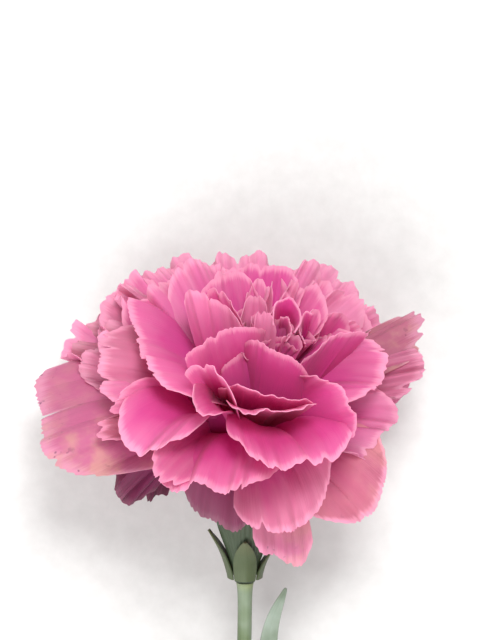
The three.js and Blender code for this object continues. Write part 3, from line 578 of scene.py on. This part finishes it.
def roll_part(row, seed):
    """A rolled petal: part of a funnel with an uneven, toothed and flared rim."""
    centre, wide, high, first, last, depth, pale = row
    u, turn = grid(ROLL_ROWS, ROLL_COLUMNS, first=0)
    angle = np.radians(first + (last - first) * turn)
    size = 0.5 + 0.5 * u ** 0.7 + 0.10 * u ** 9 + 0.05 * np.sin(5 * angle + seed) * u ** 4
    teeth = np.abs((turn * ROLL_TEETH + 0.4 * np.sin(7 * turn + seed)) % 1 - 0.5)
    fall = (1 - u) * depth + (0.5 * teeth + 0.5 * np.sin(3 * angle + seed) ** 2) * u
    across = (wide * size * np.cos(angle))[..., None] * ROLL_ACROSS
    up = (high * size * np.sin(angle))[..., None] * ROLL_UP
    points = across + up - fall[..., None] * ROLL_IN
    normals = unit_normals(points)
    sign = 1.0 if np.sum(normals * (across + up)) < 0 else -1.0
    bottom, rim = ROLL_THICK
    verts, faces = blade(points + np.array(centre) + BLOOM_CENTRE, normals * sign,
                         bottom + (rim - bottom) * u, flip=sign < 0)
    return verts, faces, petal_values(0.2 + 0.8 * u, 2 * turn - 1, pale, seed)


# ---------- node materials ----------
class Nodes:
    """Short calls for building one node material."""

    def __init__(self, name):
        self.material = bpy.data.materials.new(name)
        self.material.use_nodes = True
        self.tree = self.material.node_tree
        self.shader = self.tree.nodes["Principled BSDF"]
        self.output = self.tree.nodes["Material Output"]

    def link(self, value, socket):
        """Join an output to the socket, or set the socket's own value."""
        if isinstance(value, tuple) and len(value) < len(socket.default_value):
            value = (*value, 1)
        if isinstance(value, (int, float, tuple)):
            socket.default_value = value
        else:
            self.tree.links.new(value, socket)

    def skin(self, name, value):
        """Set one input of the principled shader."""
        self.link(value, self.shader.inputs[name])

    def node(self, kind, **inputs):
        node = self.tree.nodes.new(kind)
        for key, value in inputs.items():
            self.link(value, node.inputs[key])
        return node

    def attribute(self, name):
        node = self.node("ShaderNodeAttribute")
        node.attribute_name = name
        return node.outputs["Fac"]

    def math(self, operation, a, b=0.0):
        node = self.node("ShaderNodeMath")
        node.operation = operation
        self.link(a, node.inputs[0])
        self.link(b, node.inputs[1])
        return node.outputs[0]

    def add(self, a, b):
        return self.math("ADD", a, b)

    def times(self, a, b):
        return self.math("MULTIPLY", a, b)

    def smooth(self, value, low, high, to_low=0.0, to_high=1.0):
        node = self.node("ShaderNodeMapRange")
        node.interpolation_type = "SMOOTHSTEP"
        for key, number in (("Value", value), ("From Min", low), ("From Max", high),
                            ("To Min", to_low), ("To Max", to_high)):
            self.link(number, node.inputs[key])
        return node.outputs["Result"]

    def vector(self, x, y, z):
        return self.node("ShaderNodeCombineXYZ", X=x, Y=y, Z=z).outputs[0]

    def noise(self, vector, scale, detail, roughness):
        node = self.node("ShaderNodeTexNoise", Vector=vector, Scale=scale, Detail=detail,
                         Roughness=roughness)
        return node.outputs["Fac"]

    def ramp(self, value, stops):
        node = self.node("ShaderNodeValToRGB", Fac=value)
        colours = node.color_ramp
        while len(colours.elements) < len(stops):
            colours.elements.new(0.5)
        for element, (position, colour) in zip(colours.elements, stops):
            element.position = position
            element.color = (*colour, 1)
        return node.outputs["Color"]

    def mix(self, factor, a, b):
        node = self.tree.nodes.new("ShaderNodeMix")
        node.data_type = "RGBA"
        self.link(factor, node.inputs[0])
        self.link(a, node.inputs[6])
        self.link(b, node.inputs[7])
        return node.outputs[2]

    def bump(self, height, strength, distance=0.0003):
        node = self.node("ShaderNodeBump", Height=height, Strength=strength, Distance=distance)
        self.skin("Normal", node.outputs[0])
        return node.outputs[0]

    def place(self):
        return self.node("ShaderNodeTexCoord").outputs["Object"]


# Darkest crimson at the very root: the petals' own deeper colour there, darkened further as
# painted shade for the bloom's recesses.
DEEP = (0.58, 0.012, 0.21)
HOT = (0.85, 0.045, 0.44)
ROSE = (0.77, 0.105, 0.40)
RIM = (0.88, 0.35, 0.57)
# Palest colour at the very rim: the petal's own paler margin, brightened further as a painted
# highlight.
PALE_EDGE_HIGHLIGHT = (0.96, 0.50, 0.68)
BLUSH = (0.58, 0.18, 0.25)
# Colour of the painted shade on petals under and beside the bloom.
SHADE_PLUM = (0.18, 0.035, 0.075)
OUTER = (0.56, 0.12, 0.27)
VEIN = (0.50, 0.02, 0.14)
BRUISE = (0.16, 0.03, 0.10)
CREAM = (0.84, 0.52, 0.42)
WAX = (0.36, 0.42, 0.38)
FLOOR_DARK = (0.58, 0.575, 0.565)
FLOOR_LIGHT = (0.63, 0.625, 0.615)
LIGHT_THROUGH = 0.52              # share of a petal's light that comes through it
# Greens: dark, light and toward the tip, then wax and roughness.
GREENS = {
    # The calyx and bracts are darker than their own green: painted shade.
    "calyx_green": ((0.020, 0.036, 0.012), (0.042, 0.068, 0.024), (0.06, 0.085, 0.03), 0.08, 0.45),
    "bract_green": ((0.040, 0.060, 0.018), (0.070, 0.095, 0.030), (0.10, 0.11, 0.04), 0.08, 0.5),
    "ovary_green": ((0.30, 0.38, 0.10), (0.42, 0.50, 0.18), (0.40, 0.48, 0.20), 0.1, 0.45),
    "stem_green": ((0.075, 0.115, 0.045), (0.13, 0.18, 0.08), (0.20, 0.24, 0.08), 0.35, 0.5),
    "leaf_green": ((0.11, 0.15, 0.10), (0.18, 0.23, 0.16), (0.16, 0.20, 0.14), 0.55, 0.55),
}


def petal_material():
    """Magenta at the root with painted shade there, rose to the rim, fanning veins, a pale edge
    with a painted highlight, wilted spots and painted shade under the bloom.
    """
    m = Nodes("petal")
    u, v = m.attribute("u"), m.attribute("v")
    pale, chance, inner = (m.attribute(key) for key in ("pale", "draw", "inner"))
    wilt, dull, faded = (m.attribute(key) for key in ("wilt", "dull", "faded"))
    offset = m.times(chance, 91.0)

    def fan(across, along, detail=3.0):
        """Noise drawn out from the root to the rim, centred on zero."""
        spot = m.vector(m.times(v, across), m.times(u, along), offset)
        return m.math("SUBTRACT", m.noise(spot, 1.0, detail, 0.6), 0.5)

    rays = fan(46.0, 2.4)
    broad = fan(2.2, 2.2, 2.0)
    height = m.add(u, m.times(rays, m.smooth(pale, 0.3, 0.8, 0.08, 0.05)))
    height = m.add(height, m.times(broad, 0.45))
    height = m.add(height, m.times(m.math("SUBTRACT", pale, 0.4), 0.45))
    height = m.times(height, 0.8)
    # The darkest crimson at the root is partly painted shade.
    body = m.ramp(height, [(0.03, DEEP), (0.15, HOT), (0.62, ROSE), (0.92, RIM)])
    weak = m.times(faded, m.smooth(pale, 0.45, 0.85))
    weak = m.times(weak, m.smooth(u, 0.2, 0.9, 0.15, 0.8))
    body = m.mix(weak, body, BLUSH)
    veins = m.smooth(m.math("ABSOLUTE", fan(13.0, 1.6)), 0.0, 0.05, 0.08, 0.0)
    veins = m.times(veins, m.smooth(u, 0.35, 0.97, 1.0, 0.15))
    body = m.mix(veins, body, VEIN)
    # Thin pale line at the rim: own paler margin plus a painted highlight.
    edge = m.smooth(m.add(u, m.times(rays, 0.06)), 0.945, 0.99, 0.0, 0.8)
    body = m.mix(edge, body, PALE_EDGE_HIGHLIGHT)
    outside = m.mix(m.smooth(u, 0.45, 1.0, 0.05, 0.6), OUTER, RIM)
    grey = m.smooth(pale, 0.35, 0.8, 0.08, 0.6)
    body = m.mix(m.times(m.math("SUBTRACT", 1.0, inner), grey), body, outside)
    blotch = m.noise(m.place(), 150.0, 3.0, 0.6)
    worn = m.times(m.smooth(blotch, 0.40, 0.66), m.smooth(u, 0.55, 0.96, 0.0, 0.7))
    worn = m.times(worn, m.smooth(v, -0.3, 0.4, 0.35, 1.0))
    body = m.mix(m.times(worn, wilt), body, CREAM)
    fleck = m.smooth(m.noise(m.place(), 620.0, 2.0, 0.5), 0.64, 0.74)
    fleck = m.times(fleck, m.smooth(u, 0.88, 0.99, 0.0, 0.6))
    body = m.mix(m.times(fleck, wilt), body, BRUISE)
    # Painted shade: petals under and beside the bloom are darkened toward plum.
    body = m.mix(dull, body, SHADE_PLUM)
    m.skin("Base Color", body)
    m.skin("Roughness", 0.5)
    m.skin("Specular IOR Level", 0.35)
    m.skin("Sheen Weight", 0.15)
    relief = m.add(fan(40.0, 2.5), m.times(fan(9.0, 4.0), 0.25))
    normal = m.bump(relief, 0.35)
    glow = m.node("ShaderNodeBsdfTranslucent", Color=body, Normal=normal)
    blend = m.node("ShaderNodeMixShader")
    m.link(LIGHT_THROUGH, blend.inputs[0])
    m.link(m.shader.outputs[0], blend.inputs[1])
    m.link(glow.outputs[0], blend.inputs[2])
    m.link(blend.outputs[0], m.output.inputs["Surface"])
    return m.material


def green_material(name):
    """Waxy green skin with fine lengthwise lines, paler by 'u' toward tip and dusted with wax."""
    dark, light, tip, wax, roughness = GREENS[name]
    m = Nodes(name)
    u, v = m.attribute("u"), m.attribute("v")
    along = m.vector(m.times(v, 30.0), m.times(u, 2.0), 0.0)
    lines = m.noise(along, 1.0, 3.0, 0.6)
    patches = m.noise(m.place(), 90.0, 3.0, 0.55)
    tone = m.add(m.times(lines, 0.55), m.times(patches, 0.45))
    body = m.ramp(tone, [(0.32, dark), (0.68, light)])
    body = m.mix(m.smooth(u, 0.55, 1.0, 0.0, 0.85), body, tip)
    body = m.mix(m.times(m.smooth(patches, 0.35, 0.7), wax), body, WAX)
    m.skin("Base Color", body)
    m.skin("Roughness", m.smooth(patches, 0.3, 0.7, roughness - 0.1, roughness + 0.12))
    m.bump(lines, 0.35)
    return m.material


def floor_material():
    m = Nodes("floor")
    grain = m.noise(m.place(), 260.0, 4.0, 0.6)
    m.skin("Base Color", m.ramp(grain, [(0.3, FLOOR_DARK), (0.7, FLOOR_LIGHT)]))
    m.skin("Roughness", 0.85)
    m.bump(grain, 0.08, 0.0002)
    return m.material


# ---------- bloom ----------
def along_axis(points):
    """Points about the flower's own axis (x, -distance below the mouth, z) into the row frame."""
    turn = Vector((0, -1, 0)).rotation_difference(Vector(STEM_DIR.tolist())).to_matrix()
    return np.asarray(points) @ np.array(turn).T + MOUTH + BLOOM_CENTRE


GROUPS = {"G": "petals_guard", "B": "petals_back", "R": "petals_right", "F": "petals_front",
          "W": "petals_whorl", "X": "petals_under"}


def seeded(rows, first_seed):
    """Petals of rows, with seeds that count up from the first."""
    return [Petal(row, first_seed + k) for k, row in enumerate(rows)]


def bloom(material):
    petals = seeded(PETALS + ring_petals(RINGS, RING_SEED), 0)
    petals += seeded(SMALL_PETALS, SMALL_SEED)
    petals += seeded(ring_petals(SMALL_RINGS, SMALL_RING_SEED), SMALL_RING_SEED)
    petals += [petal for petal in seeded(whorl_petals(), WHORL_SEED) if petal.name not in LEFT_OUT]
    for letter, name in GROUPS.items():
        parts = [petal_part(petal) for petal in petals if petal.name[0] == letter]
        if letter == "W":
            parts += [roll_part(row, ROLL_SEED + k) for k, row in enumerate(ROLLS)]
        make_piece(name, parts, material, ["petals"])


def bloom_core(material):
    """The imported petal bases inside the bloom, and their claws down in the calyx."""
    steps, turns = 24, 48
    a = np.linspace(0, math.pi, steps + 1)[:, None]
    t = np.linspace(0, 2 * math.pi, turns, endpoint=False)[None, :]
    ripple = 1 + CORE_RIPPLE * np.sin(9 * t + 3 * a) * np.sin(a)
    ball = np.stack([np.sin(a) * np.cos(t) * ripple, np.cos(a) * np.ones_like(t),
                     np.sin(a) * np.sin(t) * ripple], -1)
    verts = ball.reshape(-1, 3) * np.array(CORE_RADII) + CORE_CENTRE + BLOOM_CENTRE
    core = (verts, tube_faces(steps + 1, turns),
            {"u": 0.12, "v": 0.0, "pale": 0.2, "draw": 0.3, "inner": 1.0})
    radii = np.interp(np.maximum(CLAW_DEPTHS, 0), CALYX_DEPTHS, CALYX_RADII) - CALYX_WALL - GAP
    claws = (*lathe(radii, CLAW_DEPTHS, turns),
             {"u": 0.2, "v": 0.0, "pale": 0.9, "draw": 0.6, "inner": 0.0})
    make_piece("petal_bases", [core, claws], material, ["petals"])


# ---------- calyx, ovary and bracts ----------
def calyx_radius(below):
    """Outer radius of the calyx below its mouth, smoothed through the driving radii."""
    below = np.clip(np.asarray(below, float), 0, CALYX_LENGTH)
    return sum(np.interp(np.clip(below + d, 0, CALYX_LENGTH), CALYX_DEPTHS, CALYX_RADII)
               for d in (-1.5, 0, 1.5)) / 3


def lathe(radii, depths, turns):
    """Closed turned solid about the flower's axis."""
    t = np.linspace(0, 2 * math.pi, turns, endpoint=False)
    rings = [np.stack([r * np.cos(t), np.full(turns, -d), r * np.sin(t)], -1)
             for r, d in zip(radii, depths)]
    return along_axis(np.concatenate(rings)), closed_tube_faces(len(radii), turns)


def calyx(material):
    """Tube with pointed teeth, a raised midrib on each tooth, and fine ribs."""
    steps, turns = 60, 160
    s = np.linspace(0, 1, steps + 1)[:, None]
    t = np.linspace(0, 2 * math.pi, turns, endpoint=False)[None, :]
    wave = np.abs(((t * CALYX_TEETH / (2 * math.pi)) % 1) - 0.5) * 2
    top = CALYX_RIM + TOOTH_HEIGHT * (1 - wave) ** TOOTH_BULGE
    below = CALYX_LENGTH - (CALYX_LENGTH - top) * s
    ribs = RIB_HEIGHT * np.cos(t * CALYX_TEETH * TOOTH_RIBS)
    ribs = ribs + TOOTH_KEEL * np.cos(t * CALYX_TEETH) * s
    outer = calyx_radius(below) + ribs * np.clip((below + 1) / 6, 0.3, 1) + RIM_FLARE * s ** 8
    inner = np.maximum(outer - CALYX_SKIN, 0.15)
    walls = [np.stack([radius * np.cos(t), -below * np.ones_like(t), radius * np.sin(t)], -1)
             for radius in (outer, inner)]
    verts = np.concatenate([walls[0].reshape(-1, 3), walls[1][::-1].reshape(-1, 3)])
    u = s * np.ones_like(t)
    values = {
        "u": np.concatenate([u.ravel(), u[::-1].ravel()]),
        "v": np.tile((t * np.ones_like(s) / (2 * math.pi) * 6).ravel(), 2),
    }
    faces = closed_tube_faces(2 * (steps + 1), turns)
    make_piece("calyx_tube", [(along_axis(verts), faces, values)], material, ["calyx"])


# name, bearing round the calyx in degrees (0 right), length, flare
BRACTS = [
    ("bract_left", 180, 10, 1.1),
    ("bract_right", 0, 6, 0.9),
    ("bract_upper", 90, 8, 0.6),
    ("bract_lower", 270, 9, 0.5),
]


def bract(name, bearing, length, flare, material):
    s, t = grid(rows=26, columns=24)
    below = BRACT_BASE - length * s
    angle = np.radians(bearing + BRACT_HALF_ANGLE * (1 - BRACT_TAPER * s ** 2) * t)
    height, width = BRACT_KEEL
    keel = height * np.exp(-(t / width) ** 2) * (1 - s)
    radius = calyx_radius(below) + GAP + BRACT_LIFT + flare * s ** 3 + keel
    points = along_axis(np.stack([radius * np.cos(angle), -below, -radius * np.sin(angle)], -1))
    blade_mesh = blade(points, unit_normals(points), BRACT_THICK * (1 - 0.55 * np.abs(t) ** 2))
    make_piece(name + "_scale", [(*blade_mesh, both_layers(s, t))], material, [name])


def ovary(material):
    turns = 24
    shares = np.linspace(0, 1, 14)
    radii = OVARY_RADIUS * np.sin(math.pi * (0.12 + 0.76 * shares)) ** 0.8
    turned = lathe(radii, OVARY_TOP + (OVARY_FOOT - OVARY_TOP) * shares, turns)
    values = {"u": np.repeat(shares * 0.5, turns), "v": 0.0}
    make_piece("ovary_body", [(*turned, values)], material, ["ovary"])


# ---------- stem and leaves ----------
STEM_TOP = MOUTH + BLOOM_CENTRE + STEM_DIR * (CALYX_LENGTH + GAP)
STEM_END = vec(CUT_END[0] + BLOOM_CENTRE[0], CUT_END[1] + BLOOM_CENTRE[1], STEM_RADIUS - CUT_SINK)
STEM_POINTS = (STEM_TOP, STEM_TOP + STEM_DIR * STEM_LEAD, STEM_END + CUT_LEAD, STEM_END)
STEM_PALE = (0.3, 2.5, 0.9, 2.6)  # paleness and reach: along it and at its top, at a joint
LINE_STEPS = 1000
CURVE_STEPS = 60


def evenly(line, count):
    """Points and tangents at even steps along a fine polyline, and its length."""
    run = np.concatenate([[0], np.cumsum(np.linalg.norm(np.diff(line, axis=0), axis=1))])
    at = np.linspace(0, run[-1], count)
    points = np.stack([np.interp(at, run, line[:, k]) for k in range(3)], -1)
    tangents = np.gradient(points, axis=0)
    return points, tangents / np.linalg.norm(tangents, axis=1, keepdims=True), run[-1]


def stem_line(count):
    """Points and tangents evenly along the stem's Bezier, and its length."""
    w = np.linspace(0, 1, 2 * LINE_STEPS + 1)[:, None]
    a, b, c, d = STEM_POINTS
    line = (1 - w) ** 3 * a + 3 * w * (1 - w) ** 2 * b + 3 * w ** 2 * (1 - w) * c + w ** 3 * d
    return evenly(line, count)


def stem(material):
    """Ridged stem with a swelling and a ring at each joint, pale at both and at its top."""
    count, turns = 320, 32
    points, tangents, length = stem_line(count)
    share = np.linspace(0, 1, count)
    down = share * length
    radius = np.full(count, STEM_RADIUS - STEM_INSET)
    plain, top_reach, node_pale, node_reach = STEM_PALE
    pale = np.where(down < top_reach, 1 - down / (2 * top_reach), plain)
    beyond, ring_height, ring_width = NODE_RING
    for spot in NODE_SPOTS:
        away = (share - spot) * length
        radius += (NODE_RADIUS - STEM_RADIUS) * np.exp(-(away / NODE_REACH) ** 2)
        radius += ring_height * np.exp(-((away + beyond) / ring_width) ** 2)
        pale = np.maximum(pale, node_pale * np.exp(-(away / node_reach) ** 2))
    neck_height, neck_reach = NECK
    radius += neck_height * np.exp(-down / neck_reach)
    t = np.linspace(0, 2 * math.pi, turns, endpoint=False)
    across = np.cross(tangents, vec(0, 0, 1))
    across /= np.linalg.norm(across, axis=1, keepdims=True)
    up = np.cross(across, tangents)
    ridges, ridge_height = STEM_RIDGES
    ridge = 1 + ridge_height * np.cos(t * ridges)
    ring = (np.cos(t) * ridge)[None, :, None] * across[:, None]
    ring = ring + (np.sin(t) * ridge)[None, :, None] * up[:, None]
    verts = (points[:, None] + radius[:, None, None] * ring).reshape(-1, 3)
    verts[:, 2] = np.maximum(verts[:, 2], FLOOR_CLEAR)
    faces = [face[::-1] for face in closed_tube_faces(count, turns)]
    values = {"u": np.repeat(pale, turns), "v": np.tile(np.arange(turns) / turns * 3, count)}
    make_piece("stem_skin", [(verts, faces, values)], material, ["stem"])


# name, joint, way out of it, points of the midrib from the joint, half width
LEAVES = [
    ("leaf_near_right", 0, (0.94, 0, 0.34),
     ((4, 6, 1.5), (5, 15, 3), (6.3, 23, 4), (9, 30, 6.5)), 2.0),
    ("leaf_near_left", 0, (-0.94, 0, -0.34),
     ((-5, 6, -2), (-10, 9, -6), (-15, 5, -10), (-18, -3, -13)), 2.0),
    ("leaf_far_right", 1, (0.85, 0, 0.5),
     ((5, 8, 2.5), (12, 22, 3.5), (20, 36, 1.5), (29, 50, -3.5)), 2.4),
    ("leaf_far_left", 1, (-0.85, 0, -0.3),
     ((-5, 8, -1.5), (-12, 19, -3), (-21, 29, -4.3), (-32, 36, -5)), 2.4),
]


def between(a, b, first, last, t):
    """The point at t on the line through a at first and b at last."""
    return (last - t) / (last - first) * a + (t - first) / (last - first) * b


def catmull(points, count):
    """Even points and tangents along a centripetal Catmull-Rom curve through the points."""
    ends = [2 * points[0] - points[1], *points, 2 * points[-1] - points[-2]]
    line = []
    for k in range(1, len(ends) - 2):
        p = ends[k - 1:k + 3]
        knots = [0.0]
        for a, b in zip(p, p[1:]):
            knots.append(knots[-1] + np.linalg.norm(b - a) ** 0.5)
        k0, k1, k2, k3 = knots
        for t in np.linspace(k1, k2, CURVE_STEPS, endpoint=k == len(ends) - 3):
            a1 = between(p[0], p[1], k0, k1, t)
            a2 = between(p[1], p[2], k1, k2, t)
            a3 = between(p[2], p[3], k2, k3, t)
            b1, b2 = between(a1, a2, k0, k2, t), between(a2, a3, k1, k3, t)
            line.append(between(b1, b2, k1, k2, t))
    return evenly(np.array(line), count)


def leaf(name, joint, away, ribs, half_width, material):
    """Channelled blade whose base clasps the stem's joint."""
    rows, columns = 90, 16
    line, _, _ = stem_line(LINE_STEPS + 1)
    heart = line[round(NODE_SPOTS[joint] * LINE_STEPS)]
    outward = unit(np.array(away, float))
    clasp = NODE_RADIUS + GAP + LEAF_THICK / 2
    base = heart + outward * clasp + SHEATH_DROP
    points, tangents, _ = catmull([base, *(heart + np.array(p, float) for p in ribs)], rows + 1)
    base_side = unit(np.cross(vec(0, 1, 0), outward))
    s = np.linspace(0, 1, rows + 1)
    t = np.linspace(-1, 1, columns + 1)
    crease = LEAF_CREASE * np.abs(t) ** 0.7
    narrow, tip = LEAF_OUTLINE
    middle = np.zeros((rows + 1, columns + 1, 3))
    for i in range(rows + 1):
        flat_side = unit(np.cross(tangents[i], vec(0, 0, 1)))
        if flat_side @ base_side < 0:
            flat_side = -flat_side
        share = min(1, LEAF_TURN * s[i])
        side = (1 - share) * base_side + share * flat_side
        side = unit(side - (side @ tangents[i]) * tangents[i])
        inward = np.cross(side, tangents[i])
        channel = clasp + LEAF_OPENING * s[i]
        sheath = max(0, 1 - s[i] / SHEATH_SHARE)
        width = half_width * (1 - s[i] ** narrow) ** tip + LEAF_TIP
        width += (clasp * SHEATH_ARC - half_width) * sheath ** SHEATH_FADE
        angle = t * width / channel
        middle[i] = (points[i] + np.outer(channel * np.sin(angle), side)
                     + np.outer(channel * (1 - np.cos(angle)) + crease, inward)
                     + np.outer(SHEATH_CORNER * sheath * t ** 2, tangents[i]))
    along, across = grid(rows, columns)
    thickness = LEAF_THICK * (0.95 - 0.55 * np.abs(across) ** 2) * (1 - 0.5 * along ** 4)
    blade_mesh = blade(middle, unit_normals(middle), thickness)
    make_piece(name + "_blade", [(*blade_mesh, both_layers(0.7 * along, across))],
               material, [name])


# ---------- floor, light and camera ----------
FLOOR_HALF = 1.5                  # metres
# Lamps: place and size in metres, and power.
LAMPS = {
    "key": ((0.10, 0.45, 1.10), 0.36, 11.8),
    "fill": ((-0.30, -0.70, 0.90), 0.80, 11.2),
    "back": ((-0.20, 0.90, 0.32), 0.40, 2.5),
}
SKY_STRENGTH = 0.58


def floor(material):
    mesh = bpy.data.meshes.new("floor")
    corners = [(-1, -1), (1, -1), (1, 1), (-1, 1)]
    mesh.from_pydata([(x * FLOOR_HALF, y * FLOOR_HALF, 0) for x, y in corners], [], [(0, 1, 2, 3)])
    mesh.materials.append(material)
    piece = bpy.data.objects.new("floor", mesh)
    bpy.context.scene.collection.objects.link(piece)


def area_light(name, place, size, power):
    """A square lamp aimed at the bloom."""
    light = bpy.data.lights.new(name, "AREA")
    light.size = size
    light.energy = power
    lamp = bpy.data.objects.new(name, light)
    lamp.location = place
    lamp.rotation_mode = "QUATERNION"
    away = Vector(place) - Vector((BLOOM_CENTRE * MM).tolist())
    lamp.rotation_quaternion = away.to_track_quat("Z", "Y")
    bpy.context.scene.collection.objects.link(lamp)


def studio():
    for name, lamp in LAMPS.items():
        area_light(name, *lamp)
    world = bpy.data.worlds.new("studio")
    world.use_nodes = True
    sky = world.node_tree.nodes["Background"]
    sky.inputs["Color"].default_value = (1, 1, 1, 1)
    sky.inputs["Strength"].default_value = SKY_STRENGTH
    bpy.context.scene.world = world
    bpy.context.scene.view_settings.view_transform = "Standard"


CAMERA_DISTANCE = 1000.0          # above the bloom centre
FRAME_HEIGHT = 128.0              # of the picture at the bloom's centre
FRAME_CENTRE = vec(1.0, 11.0, 0)  # from the bloom's centre
SENSOR = 36
FARTHEST = 10                     # metres


def camera():
    data = bpy.data.cameras.new("camera")
    data.sensor_width = SENSOR
    data.lens = SENSOR * CAMERA_DISTANCE / FRAME_HEIGHT
    data.clip_end = FARTHEST
    eye = bpy.data.objects.new("camera", data)
    eye.location = ((BLOOM_CENTRE + FRAME_CENTRE + vec(0, 0, CAMERA_DISTANCE)) * MM).tolist()
    bpy.context.scene.collection.objects.link(eye)
    bpy.context.scene.camera = eye


camera()
studio()
floor(floor_material())

petal_skin = petal_material()
bloom(petal_skin)
bloom_core(petal_skin)
calyx(green_material("calyx_green"))
bract_skin = green_material("bract_green")
for row in BRACTS:
    bract(*row, bract_skin)
ovary(green_material("ovary_green"))
stem(green_material("stem_green"))
leaf_skin = green_material("leaf_green")
for row in LEAVES:
    leaf(*row, leaf_skin)
